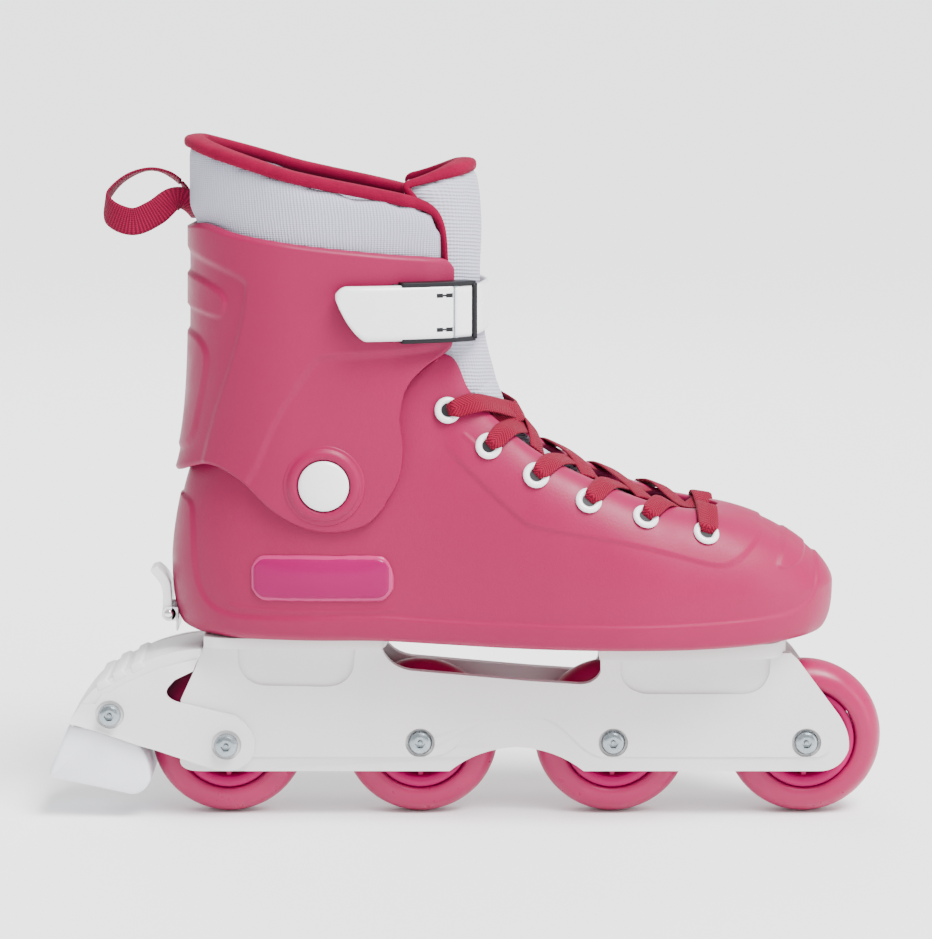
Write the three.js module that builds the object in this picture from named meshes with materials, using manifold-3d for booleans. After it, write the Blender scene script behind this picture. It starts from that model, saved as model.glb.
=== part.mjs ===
// An in-line roller skate for the right foot: a hard boot with a hinged cuff, a padded liner and
// tongue, laces, a lever buckle, a heel lever, and a plastic frame with four wheels and a heel brake.
// Millimetres. +X is the toe, +Z is up, -Y is the outer side of the foot. The ground is z = 0.
import * as THREE from 'three';
import Module from 'manifold-3d';
import { mergeVertices } from 'three/addons/utils/BufferGeometryUtils.js';

const wasm = await Module();
wasm.setup();

// ---- driving dimensions -------------------------------------------------------------------
const GAP = 0.3;                    // clearance between two pieces that touch
const WHEEL = { diameter: 72, width: 24, pitch: 89, hub: 46 };
const BEARING = { outer: 22, bore: 8, width: 7 };
const AXLE = { shank: 8, head: 11, headLength: 4, nut: 12.4, nutLength: 4.2 };
const FRAME = { gap: 27, wall: 5, boss: 12.6, skirt: 13.5, heelPlate: 5, frontPlate: 7 };
const SOLE_Z = WHEEL.diameter + 12.5;   // underside of the boot at the ball of the foot
const HEEL_RISE = 3;                    // how much higher the sole is at the heel
const BOOT = { heelX: -158, toeX: 145.2, halfWidth: 49, wall: 3.6, sole: 6, medialShift: 3.5 };
const PIVOT = { x: -87, z: 75.5, pin: 8, head: 15, cap: 22.6, boss: 31 };
const CUFF = { wall: 2.8, halfWidth: 44, rimZ: 190, frontX: -28 };
const LINER = { wall: 5.2, collar: 7, fit: 5.6 };
const TONGUE = { thick: 9, halfWidth: 27 };
const STRAP = { width: 25, thick: 1.8, z: 153.3 };
const BUCKLE = { height: 25, pin: 3 };
const LACE = { width: 10, thick: 1.6 };
const EYELET = { outer: 12, bore: 6, flange: 1.2, count: 6 };
const BRAKE = { armWall: 3.6, pad: 39, bolt: 6 };
const LEVER = { width: 16, pin: 3.8, hub: 5.8 };
const SHIFT_X = 23;                 // wheelbase centre, ahead of the middle of the whole skate

// ---- finishes -----------------------------------------------------------------------------
const finish = (color, roughness, metalness = 0) =>
  new THREE.MeshStandardMaterial({ color, roughness, metalness });
const SHELL_PINK = finish('#c8587a', 0.35);
const MAGENTA = finish('#c8005a', 0.2);
const OFF_WHITE = finish('#e6e4e4', 0.4);
const WHITE_RUBBER = finish('#e9e8ea', 0.7);
const TYRE_PINK = finish('#e0628c', 0.45);
const HUB_PINK = finish('#e60050', 0.35);
const STEEL = finish('#8f9094', 0.3, 0.9);
const DARK_STEEL = finish('#3c3d42', 0.4, 0.8);
const CHROME = finish('#d8d8dc', 0.1, 1);
const BLACK = finish('#1c1c20', 0.4);
const LILAC = finish('#cdccd9', 0.9);
const RED = finish('#be0f32', 0.85);

// ---- helpers ------------------------------------------------------------------------------
const deg = Math.PI / 180;
const clamp = (v, lo = 0, hi = 1) => Math.min(hi, Math.max(lo, v));
const lerp = THREE.MathUtils.lerp;
const smooth = THREE.MathUtils.smoothstep;
const range = (n) => Array.from({ length: n }, (_, i) => i);
const v3 = (x, y, z) => new THREE.Vector3(x, y, z);

function solid(geometry) {
  const bare = new THREE.BufferGeometry().setAttribute('position', geometry.getAttribute('position'));
  if (geometry.index) bare.setIndex(geometry.index);
  const merged = mergeVertices(bare, 1e-4);
  const index = Array.from(merged.index.array);
  const tris = [];
  for (let i = 0; i < index.length; i += 3) {
    const [a, b, c] = index.slice(i, i + 3);
    if (a !== b && b !== c && c !== a) tris.push(a, b, c);
  }
  const make = (list) => new wasm.Manifold(new wasm.Mesh({
    numProp: 3,
    vertProperties: Float32Array.from(merged.attributes.position.array),
    triVerts: Uint32Array.from(list),
  }));
  const made = make(tris);
  if (made.volume() > 0) return made;
  return make(tris.map((_, i) => tris[i - (i % 3) + 2 - (i % 3)]));
}

function geometryOf(body) {
  const mesh = body.getMesh();
  const geometry = new THREE.BufferGeometry();
  geometry.setAttribute('position', new THREE.BufferAttribute(Float32Array.from(mesh.vertProperties), 3));
  geometry.setIndex(new THREE.BufferAttribute(Uint32Array.from(mesh.triVerts), 1));
  const flat = geometry.toNonIndexed();
  flat.computeVertexNormals();
  return flat;
}

const joinAll = (bodies) => bodies.reduce((a, b) => a.add(b));
// A joined body without the small pockets that crossing bands close off.
const filled = (body) => joinAll(body.decompose().filter((part) => part.volume() > 0));
const cutAll = (body, tools) => tools.reduce((a, b) => a.subtract(b), body);

// Quads between two rows of points.
function strip(out, a, b, wrap) {
  const n = a.length;
  for (const i of range(wrap ? n : n - 1)) {
    const k = (i + 1) % n;
    out.push(a[i], a[k], b[k], a[i], b[k], b[i]);
  }
}

// Quads across a ring whose point i faces its point n - i, which closes the sole of a boot.
function zipper(out, ring, flip) {
  const n = ring.length;
  for (const i of range(n / 2)) {
    const quad = [ring[i], ring[i + 1], ring[(n - i - 1) % n], ring[(n - i) % n]];
    const [a, b, c, d] = flip ? [quad[3], quad[2], quad[1], quad[0]] : quad;
    out.push(a, b, c, a, c, d);
  }
}

const fromTriangles = (list) => solid(new THREE.BufferGeometry().setFromPoints(list));

// A cup: outer and inner are rows of rings from the floor up, and both floors are closed.
function cup(outer, inner) {
  const out = [];
  outer.slice(1).forEach((row, j) => strip(out, outer[j], row, true));
  strip(out, outer.at(-1), inner.at(-1), true);
  inner.slice(1).forEach((row, j) => strip(out, row, inner[j], true));
  zipper(out, outer[0], true);
  zipper(out, inner[0], false);
  return fromTriangles(out);
}

// A wall that is open at its two ends: a list of closed sections, each a loop of points.
function loft(sections) {
  const out = [];
  sections.slice(1).forEach((row, i) => strip(out, sections[i], row, true));
  for (const [loop, flip] of [[sections[0], true], [sections.at(-1), false]]) {
    const n = loop.length;
    for (const i of range(n / 2 - 1)) {
      const quad = [loop[i], loop[i + 1], loop[n - 2 - i], loop[n - 1 - i]];
      const [a, b, c, d] = flip ? [quad[3], quad[2], quad[1], quad[0]] : quad;
      out.push(a, b, c, a, c, d);
    }
  }
  return fromTriangles(out);
}

// A skin between an outer and an inner grid of points.
const sheet = (outer, inner) => loft(outer.map((row, i) => [...row, ...inner[i].toReversed()]));

// An outline in the side view, given as x and z, made solid between two y values.
function sideSlab(shape, y0, y1) {
  const geometry = new THREE.ExtrudeGeometry(shape, { depth: y1 - y0, bevelEnabled: false, curveSegments: 5 });
  return solid(geometry.rotateX(Math.PI / 2).translate(0, y1, 0));
}

function outline(points) {
  const shape = new THREE.Shape();
  points.forEach((p, i) => {
    if (i === 0) shape.moveTo(p[0], p[1]);
    else if (p.length === 4) shape.quadraticCurveTo(p[0], p[1], p[2], p[3]);
    else shape.lineTo(p[0], p[1]);
  });
  return shape;
}

const box = (x0, x1, y0, y1, z0, z1) => solid(new THREE.BoxGeometry(x1 - x0, y1 - y0, z1 - z0)
  .translate((x0 + x1) / 2, (y0 + y1) / 2, (z0 + z1) / 2));

// Turned pieces. A profile is a list of radius and distance along the axis.
const turnedY = (profile, x, z, sides = 24) => solid(
  new THREE.LatheGeometry(profile.map((p) => new THREE.Vector2(p[0], p[1])), sides).translate(x, 0, z));
const turnedZ = (profile, x, y, sides = 24) => solid(
  new THREE.LatheGeometry(profile.map((p) => new THREE.Vector2(p[0], p[1])), sides)
    .rotateX(Math.PI / 2).translate(x, y, 0));
const rodY = (r, x, z, y0, y1, sides = 16) => turnedY([[0, y0], [r, y0], [r, y1], [0, y1]], x, z, sides);
const rodZ = (r, x, y, z0, z1, sides = 16) => turnedZ([[0, z0], [r, z0], [r, z1], [0, z1]], x, y, sides);

function place(parent, name, body, material) {
  const mesh = new THREE.Mesh(body.isBufferGeometry ? body : geometryOf(body), material);
  mesh.name = name;
  parent.add(mesh);
}

const mirrorY = (p) => v3(p.x, -p.y, p.z);

// ---- boot surface ---------------------------------------------------------------------------
// Half rings from toe to heel: the sole edge, the widest line and the edge of the opening.
// Each point is x as a share of the boot's length from the heel, half width as a share of the
// ball of the foot, and height over the sole.
const SOLE_RING = [
  [0.965, 0, 2.0], [0.955, 0.27, 1.6], [0.921, 0.53, 1.0], [0.865, 0.74, 0.4], [0.791, 0.86, 0],
  [0.702, 0.9, 0], [0.603, 0.86, 0], [0.505, 0.79, 0.4], [0.406, 0.74, 1.7], [0.32, 0.72, 3],
  [0.21, 0.7, 3], [0.119, 0.59, 3], [0.06, 0.34, 3], [0.037, 0, 3],
];
const WIDE_RING = [
  [1, 0, 25], [0.989, 0.33, 24.5], [0.953, 0.62, 24], [0.891, 0.83, 23], [0.805, 0.95, 22],
  [0.706, 1, 21.5], [0.603, 0.95, 22], [0.505, 0.88, 24], [0.396, 0.83, 26], [0.29, 0.825, 29],
  [0.191, 0.82, 32], [0.092, 0.7, 34], [0.026, 0.41, 36], [0, 0, 36],
];
const EDGE_RING = [
  [0.828, 0, 59.5], [0.818, 0.18, 59.5], [0.798, 0.32, 59.5], [0.768, 0.4, 60.5], [0.712, 0.43, 64.3],
  [0.64, 0.44, 73], [0.554, 0.46, 86], [0.488, 0.49, 102], [0.448, 0.53, 116], [0.412, 0.56, 133],
  [0.303, 0.69, 122], [0.16, 0.68, 104], [0.088, 0.38, 95], [0.052, 0, 92.5],
];
const ROUNDNESS = [1.5, 1.5, 1.6, 1.7, 1.8, 1.9, 2, 2, 2, 2, 2, 1.8, 1.6, 1.5];

const bootX = (share) => lerp(BOOT.heelX, BOOT.toeX, share);

function ringCurve(half) {
  const points = half.map(([share, w, z]) => v3(bootX(share), -w * BOOT.halfWidth, z));
  const other = points.slice(1, -1).reverse().map(mirrorY);
  return new THREE.CatmullRomCurve3([...points, ...other], true, 'catmullrom', 0.5);
}
const soleCurve = ringCurve(SOLE_RING);
const wideCurve = ringCurve(WIDE_RING);
const edgeCurve = ringCurve(EDGE_RING);
const LOW_SHARE = 0.3;            // part of the profile that lies below the widest line

// A point of the boot's outer face. u runs round from the toe past the outer side, v runs up.
function bootPoint(u, v) {
  const turn = ((u % 1) + 1) % 1;
  const sole = soleCurve.getPoint(turn);
  const wide = wideCurve.getPoint(turn);
  const edge = edgeCurve.getPoint(turn);
  const place = (turn <= 0.5 ? turn : 1 - turn) * 2 * (ROUNDNESS.length - 1);
  const k = Math.min(Math.floor(place), ROUNDNESS.length - 2);
  const n = lerp(ROUNDNESS[k], ROUNDNESS[k + 1], place - k);
  let level;
  let across;
  let from;
  let to;
  if (v < LOW_SHARE) {
    const t = (v / LOW_SHARE) * 90 * deg;
    [from, to] = [sole, wide];
    across = Math.sin(t) ** 0.75;
    level = 1 - Math.cos(t) ** 0.75;
  } else {
    const t = ((v - LOW_SHARE) / (1 - LOW_SHARE)) * 90 * deg;
    [from, to] = [wide, edge];
    across = 1 - Math.max(Math.cos(t), 0) ** (2 / n);
    level = Math.sin(t) ** (2 / n);
  }
  const x = lerp(from.x, to.x, across);
  const y = lerp(from.y, to.y, across) + BOOT.medialShift * smooth(x, 0.1 * BOOT.toeX, BOOT.toeX);
  return v3(x, y, lerp(from.z, to.z, level));
}

// The same face moved inwards by a distance.
function bootInside(u, v, depth) {
  const d = 0.004;
  const lo = clamp(v - d, 0.02, 0.985);
  const hi = clamp(v + d, 0.03, 0.995);
  const along = bootPoint(u + d, v).sub(bootPoint(u - d, v));
  const up = bootPoint(u, hi).sub(bootPoint(u, lo));
  const normal = along.cross(up).normalize();
  return bootPoint(u, v).addScaledVector(normal, depth);
}

// Where the boot's outer side, seen square on, shows a point. Negative side is the outer one.
function bootSide(x, z, side = -1) {
  let best = [0.25, 0.6, Infinity];
  for (let step = 0.12, span = 0; step > 2e-4; step /= 3, span = 1) {
    const [u0, v0] = span ? best : [0.25, 0.55];
    const reach = span ? 3 : 4;
    for (let i = -reach; i <= reach; i += 1) {
      for (let j = -reach; j <= reach; j += 1) {
        const u = clamp(u0 + i * step, 0.005, 0.495);
        const v = clamp(v0 + j * step, 0.01, 0.99);
        const p = bootPoint(side < 0 ? u : 1 - u, v);
        const miss = Math.hypot(p.x - x, p.z - z);
        if (miss < best[2]) best = [u, v, miss];
      }
    }
  }
  return { u: side < 0 ? best[0] : 1 - best[0], v: best[1] };
}

const AROUND = 40;
const ROUND_SMALL = 8;
const bootRing = (v, depth, floor = -Infinity) => range(AROUND).map((i) => {
  const p = bootInside(i / AROUND, v, depth);
  return v3(p.x, p.y, Math.max(p.z, floor));
});

// ---- leg outline ------------------------------------------------------------------------------
// The cuff's outer face in plan at a height over the sole: a blunt ellipse, long at the front.
function legPoint(alpha, z, depth = 0) {
  const centreX = -100;
  const rear = BOOT.heelX + 9.6 - 8.6 * Math.exp((77 - z) / 26);
  const rearAxis = centreX - rear;
  const frontAxis = lerp(200, 100, smooth(z, 95, 138));
  const halfWidth = CUFF.halfWidth + 0.012 * (z - PIVOT.z);
  const c = Math.cos(alpha);
  const s = Math.sin(alpha);
  const x = centreX - (c > 0 ? rearAxis : frontAxis) * c;
  const nx = -c * halfWidth;
  const ny = s * (c > 0 ? rearAxis : frontAxis);
  const size = Math.hypot(nx, ny);
  return v3(x - (nx / size) * depth, s * halfWidth - (ny / size) * depth, z);
}

// The plan angle at which the leg outline reaches an x.
function legAngle(x, z) {
  let lo = 0;
  let hi = Math.PI;
  for (const _ of range(30)) {
    const mid = (lo + hi) / 2;
    if (legPoint(mid, z).x < x) lo = mid;
    else hi = mid;
  }
  return lo;
}

// A wall round the leg from its front outer edge past the heel to its front inner edge.
// lower and upper give x and z of each edge, from t = 0 at the heel to t = 1 at the front.
function legWall(lower, upper, outside, inside, across, rows) {
  const sections = [];
  for (const i of range(2 * across + 1)) {
    const side = i < across ? -1 : 1;
    const t = Math.abs(i - across) / across;
    const [lowX, lowZ] = lower(t);
    const [topX, topZ] = upper(t);
    const column = (depth) => range(rows + 1).map((j) => {
      const x = lerp(lowX, topX, j / rows);
      const z = lerp(lowZ, topZ, j / rows);
      const angle = t === 0 ? 0 : legAngle(x, z);
      const p = legPoint(angle, z, depth);
      return v3(p.x, side * p.y, p.z);
    });
    const near = column(outside);
    const far = column(inside);
    sections.push([...near, ...far.toReversed()]);
  }
  return loft(sections);
}

// Piecewise edge through hand-picked points, evenly spaced along t.
function edgeLine(points) {
  const curve = new THREE.CatmullRomCurve3(points.map(([x, z]) => v3(x, 0, z)), false, 'centripetal');
  return (t) => {
    const p = curve.getPoint(t);
    return [p.x, p.z];
  };
}

const skate = new THREE.Group();
skate.position.x = SHIFT_X;
const boot = new THREE.Group();
boot.position.z = SOLE_Z;
skate.add(boot);
const chassis = new THREE.Group();
skate.add(chassis);

// ---- boot shell ---------------------------------------------------------------------------------
const boltSpots = [-101, 79];
const bootBolt = { shank: 4, head: 8, headHeight: 2.6 };
const FLOOR_V = 0.12;
const levels = [0, 0.06, 0.16, LOW_SHARE, 0.45, 0.58, 0.7, 0.82, 0.92, 1];
const innerLevels = [FLOOR_V, LOW_SHARE, 0.45, 0.58, 0.7, 0.82, 0.92, 1];

function bootShell() {
  const floor = BOOT.sole + HEEL_RISE;
  const outer = levels.map((v) => bootRing(v, 0));
  const inner = innerLevels.map((v, j) => bootRing(v, BOOT.wall, floor).map((p) => (
    j === 0 ? v3(p.x, p.y, floor) : p)));
  const holes = boltSpots.flatMap((x) => [
    rodZ(bootBolt.shank + GAP, x, 0, -2, floor + 1),
    rodZ(bootBolt.head + GAP, x, 0, floor - bootBolt.headHeight - GAP, floor + 1),
  ]);
  const pinHoles = [rodY(PIVOT.pin / 2 + GAP, PIVOT.x, PIVOT.z, -60, 60)];
  for (const side of [-1, 1]) {
    const inside = ankleY(side) - side * BOOT.wall;
    pinHoles.push(rodY(PIVOT.head / 2 + GAP, PIVOT.x, PIVOT.z,
      Math.min(inside - side * 6, inside + side * 1.7), Math.max(inside - side * 6, inside + side * 1.7)));
  }
  return cutAll(cup(outer, inner), [...holes, ...pinHoles, ...eyeletHoles()]);
}

function ankleY(side) {
  const { u, v } = bootSide(PIVOT.x, PIVOT.z, side);
  return bootPoint(u, v).y;
}

// Eyelets stand a fixed distance below the throat edge, one above the other.
const eyeletSpots = [0.403, 0.462, 0.532, 0.61, 0.694, 0.782].map((share, i) => [
  bootX(share) + 9.5, [108.5, 91, 76.5, 65.6, 58, 50.5][i]]);

function eyeletFrame([x, z], side) {
  const { u, v } = bootSide(x, z, side);
  const p = bootPoint(u, v);
  const normal = p.clone().sub(bootInside(u, v, 1)).normalize();
  return { p, normal };
}

function alongNormal(profile, { p, normal }, sides) {
  const geometry = new THREE.LatheGeometry(profile.map((q) => new THREE.Vector2(q[0], q[1])), sides);
  const turn = new THREE.Quaternion().setFromUnitVectors(v3(0, 1, 0), normal);
  return solid(geometry.applyQuaternion(turn).translate(p.x, p.y, p.z));
}

const barrel = EYELET.bore / 2 + 1;
const STRIP_HALF = 2.4;
function eyeletHoles() {
  return [-1, 1].flatMap((side) => eyeletSpots.map((spot) => alongNormal(
    [[0, -8], [barrel + GAP, -8], [barrel + GAP, 6], [0, 6]], eyeletFrame(spot, side), ROUND_SMALL)));
}

// Six flanged rings through the shell, joined behind it by a thin strip.
function eyeletRow(side) {
  const back = BOOT.wall + 6 * GAP;
  const frames = eyeletSpots.map((spot) => eyeletFrame(spot, side));
  const rings = frames.map((frame) => alongNormal([
    [EYELET.bore / 2, 2 * GAP + EYELET.flange], [EYELET.outer / 2, 2 * GAP + EYELET.flange],
    [EYELET.outer / 2, 2 * GAP], [barrel, 2 * GAP], [barrel, -back - 0.4],
    [EYELET.bore / 2, -back - 0.4], [EYELET.bore / 2, 2 * GAP + EYELET.flange],
  ], frame, ROUND_SMALL));
  const line = new THREE.CatmullRomCurve3(eyeletSpots.map(([x, z]) => v3(x, 0, z)));
  const steps = EYELET.count - 1;
  const rows = range(steps + 1).map((i) => {
    const spot = line.getPoint(i / steps);
    const slope = line.getTangent(i / steps);
    const { p, normal } = eyeletFrame([spot.x, spot.z], side);
    return { c: p, normal, across: slope.clone().cross(normal).normalize() };
  });
  const strips = loft(rows.map(({ c, normal, across }) => [
    c.clone().addScaledVector(across, STRIP_HALF).addScaledVector(normal, -back),
    c.clone().addScaledVector(across, -STRIP_HALF).addScaledVector(normal, -back),
    c.clone().addScaledVector(across, -STRIP_HALF).addScaledVector(normal, -back - 1),
    c.clone().addScaledVector(across, STRIP_HALF).addScaledVector(normal, -back - 1),
  ]));
  const bores = frames.map((frame) => alongNormal(
    [[0, -8], [EYELET.bore / 2, -8], [EYELET.bore / 2, 6], [0, 6]], frame, ROUND_SMALL));
  return cutAll(joinAll([strips, ...rings]), bores);
}

place(boot, 'boot_shell', bootShell(), SHELL_PINK);
place(boot, 'eyelet_row_lateral', eyeletRow(-1), OFF_WHITE);
place(boot, 'eyelet_row_medial', eyeletRow(1), OFF_WHITE);


// ---- liner, insole and tongue in the boot -------------------------------------------------------
const linerOut = BOOT.wall + LINER.fit;
const linerIn = linerOut + LINER.wall;

function linerFoot() {
  const floor = BOOT.sole + HEEL_RISE + GAP;
  const wallLevels = [0.14, LOW_SHARE, 0.45, 0.6, 0.8];
  const outer = wallLevels.map((v, j) => bootRing(v, linerOut, floor).map((p) => (
    j === 0 ? v3(p.x, p.y, floor) : p)));
  const inner = wallLevels.map((v, j) => bootRing(v, linerIn, floor + LINER.wall).map((p) => (
    j === 0 ? v3(p.x, p.y, floor + LINER.wall) : p)));
  return cup(outer, inner);
}

function insole() {
  const base = BOOT.sole + HEEL_RISE + LINER.wall + 2 * GAP;
  const rim = (z) => bootRing(0.2, linerIn + 2).map((p) => v3(p.x, p.y, z));
  const out = [];
  const [low, high] = [rim(base), rim(base + 3.5)];
  strip(out, low, high, true);
  zipper(out, low, true);
  zipper(out, high, false);
  return fromTriangles(out);
}

// Line of the tongue's front face over the instep and up the shin, at the middle of the foot.
const INSTEP = [[88, 50.5], [57, 62.5], [28, 76.5], [8, 88.5], [-3, 99], [-10, 112], [-13.8, 122]];
const SHIN = [[-15.2, 139.5], [-15.8, 165], [-15.4, 188], [-16.8, 207], [-19.5, 217]];

// A padded plate bent across the foot. Its middle line is given, with how much its sides drop.
function tonguePlate(line, curl, halfWidths, thick, across = 6) {
  const middle = new THREE.CatmullRomCurve3(line.map(([x, z]) => v3(x, 0, z)), false, 'centripetal');
  const steps = 2 * (line.length - 1);
  return loft(range(steps + 1).map((i) => {
    const t = i / steps;
    const c = middle.getPoint(t);
    const slope = middle.getTangent(t);
    const out = v3(slope.z, 0, -slope.x);
    if (out.x < 0) out.negate();
    const width = halfWidths(t);
    const bend = curl(t);
    const row = (depth) => range(across + 1).map((j) => {
      const s = (2 * j) / across - 1;
      const drop = bend * (1 - Math.sqrt(1 - 0.9 * s * s)) / (1 - Math.sqrt(0.1));
      const edge = depth === 0 ? 0 : depth * (1 - 0.35 * s * s);
      return c.clone().addScaledVector(out, -drop - edge).add(v3(0, s * width, 0));
    });
    return [...row(0), ...row(thick).toReversed()];
  }));
}

const tongueFoot = tonguePlate(INSTEP, (t) => lerp(9, 14, t), (t) => lerp(13, 19, smooth(t, 0, 0.4)),
  TONGUE.thick - 2);
const tongueTop = tonguePlate(SHIN, (t) => lerp(22, 29, t), (t) => lerp(24, TONGUE.halfWidth, t),
  TONGUE.thick);

place(boot, 'liner_foot', linerFoot(), LILAC);
place(boot, 'insole', insole(), BLACK);
place(boot, 'tongue_foot', tongueFoot, LILAC);
place(boot, 'tongue_top', tongueTop, LILAC);

// ---- cuff and collar ---------------------------------------------------------------------------
const rearX = (z) => legPoint(0, z).x;
const cuffLower = edgeLine([
  [rearX(77), 77], [-141, 83], [-126, 77.5], [-110, 63.5], [-96, 56], [-82, 54], [-68, 57.5],
  [-59, 66.5], [-53, 78], [-51.5, 92], [-53.5, 106], [-50, 119], [-42, 128], [-33, 134],
  [CUFF.frontX - 0.5, 139.5],
]);
const cuffUpper = edgeLine([
  [rearX(CUFF.rimZ), CUFF.rimZ], [-140, 191.5], [-126, 188], [-108, 185], [-90, 182.5],
  [-72, 180.5], [-56, 178.8], [-46, 178], [-40, 177.4], [-36, 177], [-33, 176.4], [-31, 175.4],
  [-29.5, 173.6], [-28.6, 171.6], [CUFF.frontX, 169],
]);

function cuff() {
  let body = legWall(cuffLower, cuffUpper, 0, CUFF.wall, 18, 4);
  for (const side of [-1, 1]) {
    const face = side * legPoint(legAngle(PIVOT.x, PIVOT.z), PIVOT.z).y;
    const [a, b] = [face - side * CUFF.wall, face + side * 1.6].sort((p, q) => p - q);
    body = body.add(rodY(PIVOT.boss / 2, PIVOT.x, PIVOT.z, a + (side > 0 ? 0.8 : 0),
      b - (side < 0 ? 0.8 : 0), 24));
    const [c, d] = [face + side * 0.4, face + side * 6].sort((p, q) => p - q);
    body = body.subtract(rodY(PIVOT.cap / 2 + GAP, PIVOT.x, PIVOT.z, c, d, 24));
    const [e, f] = [face - side * 8, face + side * 6].sort((p, q) => p - q);
    body = body.subtract(rodY(PIVOT.pin / 2 + GAP, PIVOT.x, PIVOT.z, e, f));
  }
  return body.subtract(screwTool(2.2 + GAP, -6, 6));
}

const ankleFace = legPoint(legAngle(PIVOT.x, PIVOT.z), PIVOT.z).y;

// A domed cap in the cuff's boss, and the rivet under it that carries the cuff on the boot.
function ankleCap(side) {
  const y0 = ankleFace + 0.4 + GAP;
  const r = PIVOT.cap / 2;
  const profile = [[0, y0], [r, y0], [r, y0 + 1.6], [r * 0.85, y0 + 2.6], [r * 0.5, y0 + 3.4], [0, y0 + 3.7]];
  return turnedY(profile.map(([q, y]) => [q, side * y]), PIVOT.x, PIVOT.z, 20);
}

function anklePin(side) {
  const wallIn = Math.abs(ankleY(side)) - BOOT.wall + 1.7 - GAP;
  const headIn = wallIn - 2.4;
  const end = ankleFace + 0.4;
  const profile = [[0, headIn], [PIVOT.head / 2, headIn], [PIVOT.head / 2, wallIn],
    [PIVOT.pin / 2, wallIn], [PIVOT.pin / 2, end], [0, end]];
  return turnedY(profile.map(([q, y]) => [q, side * y]), PIVOT.x, PIVOT.z, 16);
}

const collarLower = edgeLine([[-146, 103], [-112, 106], [-80, 125], [-56, 141], [-36, 152]]);
const collarUpper = edgeLine([
  [-146.5, 229], [-138, 226], [-123.7, 221.5], [-106, 216.5], [-88.4, 212.5], [-66, 208], [-48, 204],
  [-40, 201.5], [-35, 197.5], [-32, 190], [-31, 178],
]);
const collarOut = CUFF.wall + 0.6;

// ---- laces, badge, strap and pull loop -----------------------------------------------------------
// A flat band along hand-picked points. Each point has its place and the direction it faces.
function band(points, width, thick, steps = 4) {
  const path = new THREE.CatmullRomCurve3(points.map((q) => q.at), false, 'centripetal');
  const facing = new THREE.CatmullRomCurve3(points.map((q) => q.face), false, 'catmullrom', 0.3);
  const n = (points.length - 1) * steps;
  return loft(range(n + 1).map((i) => {
    const t = i / n;
    const along = path.getTangent(t);
    const face = facing.getPoint(t);
    face.addScaledVector(along, -face.dot(along)).normalize();
    const side = along.clone().cross(face);
    const c = path.getPoint(t);
    const w = typeof width === 'function' ? width(t) : width;
    return [[1, 1], [-1, 1], [-1, -1], [1, -1]].map(([a, b]) => c.clone()
      .addScaledVector(side, (a * w) / 2).addScaledVector(face, (b * thick) / 2));
  }));
}

const RIDGE_RISE = 3.2;           // lace over the tongue's face
const instepCurve = new THREE.CatmullRomCurve3(INSTEP.map(([x, z]) => v3(x, 0, z)), false, 'centripetal');
function ridgeAt(x) {
  let [lo, hi] = [0, 1];
  for (const _ of range(24)) {
    const mid = (lo + hi) / 2;
    if (instepCurve.getPoint(mid).x > x) lo = mid;
    else hi = mid;
  }
  const slope = instepCurve.getTangent(lo);
  const face = v3(Math.abs(slope.z), 0, Math.abs(slope.x)).normalize();
  return { at: instepCurve.getPoint(lo).addScaledVector(face, RIDGE_RISE), face };
}

// Where a lace leaves eyelet i, and where it passes over the throat edge on its way forward.
function laceStart(i, side, lean) {
  const spot = eyeletSpots[i];
  const frame = eyeletFrame(spot, side);
  const high = GAP + EYELET.flange + GAP + LACE.thick / 2;
  const start = { at: frame.p.clone().addScaledVector(frame.normal, high + 2.4), face: frame.normal };
  const { u } = bootSide(spot[0], spot[1], side);
  const edge = bootPoint(u + side * lean, 0.985);
  const up = frame.normal.clone().add(v3(0, 0, 0.6)).normalize();
  const over = { at: edge.addScaledVector(up, high + 3), face: up };
  return { start, over };
}

function lace() {
  const bands = [];
  for (const side of [-1, 1]) {
    for (const i of range(EYELET.count - 1)) {
      const { start, over } = laceStart(i, side, 0.012);
      const far = laceStart(i + 1, -side, 0.012);
      const x = (over.at.x + far.over.at.x) / 2;
      const middle = ridgeAt(x);
      const end = far.over.at.clone().lerp(v3(far.over.at.x, 0, far.over.at.z), 0.35);
      if (i < EYELET.count - 2) end.z -= 0.8;
      bands.push(band([start, over, middle, { at: end, face: middle.face }], LACE.width, LACE.thick, 2));
    }
  }
  const last = EYELET.count - 1;
  const [a, b] = [-1, 1].map((side) => laceStart(last, side, 0));
  bands.push(band([a.start, a.over, ridgeAt((a.over.at.x + b.over.at.x) / 2), b.over, b.start],
    LACE.width, LACE.thick, 2));
  return filled(joinAll(bands));
}

// A plate that follows the boot's outer side, domed over its middle.
function sidePatch(x0, x1, z0, z1, thick, dome) {
  const [nx, nz] = [10, 4];
  const grid = (lift) => range(nx + 1).map((i) => range(nz + 1).map((j) => {
    const a = (2 * i) / nx - 1;
    const b = (2 * j) / nz - 1;
    const x = lerp(x0, x1, i / nx);
    const end = 1 - 0.3 * clamp((Math.abs(a) - 0.8) / 0.2) ** 2;
    const z = (z0 + z1) / 2 + b * end * (z1 - z0) / 2;
    const { p, normal } = eyeletFrame([x, z], -1);
    const rise = lift ? thick + dome * (1 - a ** 4) * (1 - b ** 2) : 0;
    return p.clone().addScaledVector(normal, PATCH_SEAT + rise);
  }));
  return sheet(grid(false), grid(true));
}
const PATCH_SEAT = 0.45;

place(boot, 'lace', lace(), RED);
place(boot, 'badge', sidePatch(-119.5, -57, 22.9, 42.5, 1.2, 1), MAGENTA);

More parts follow.
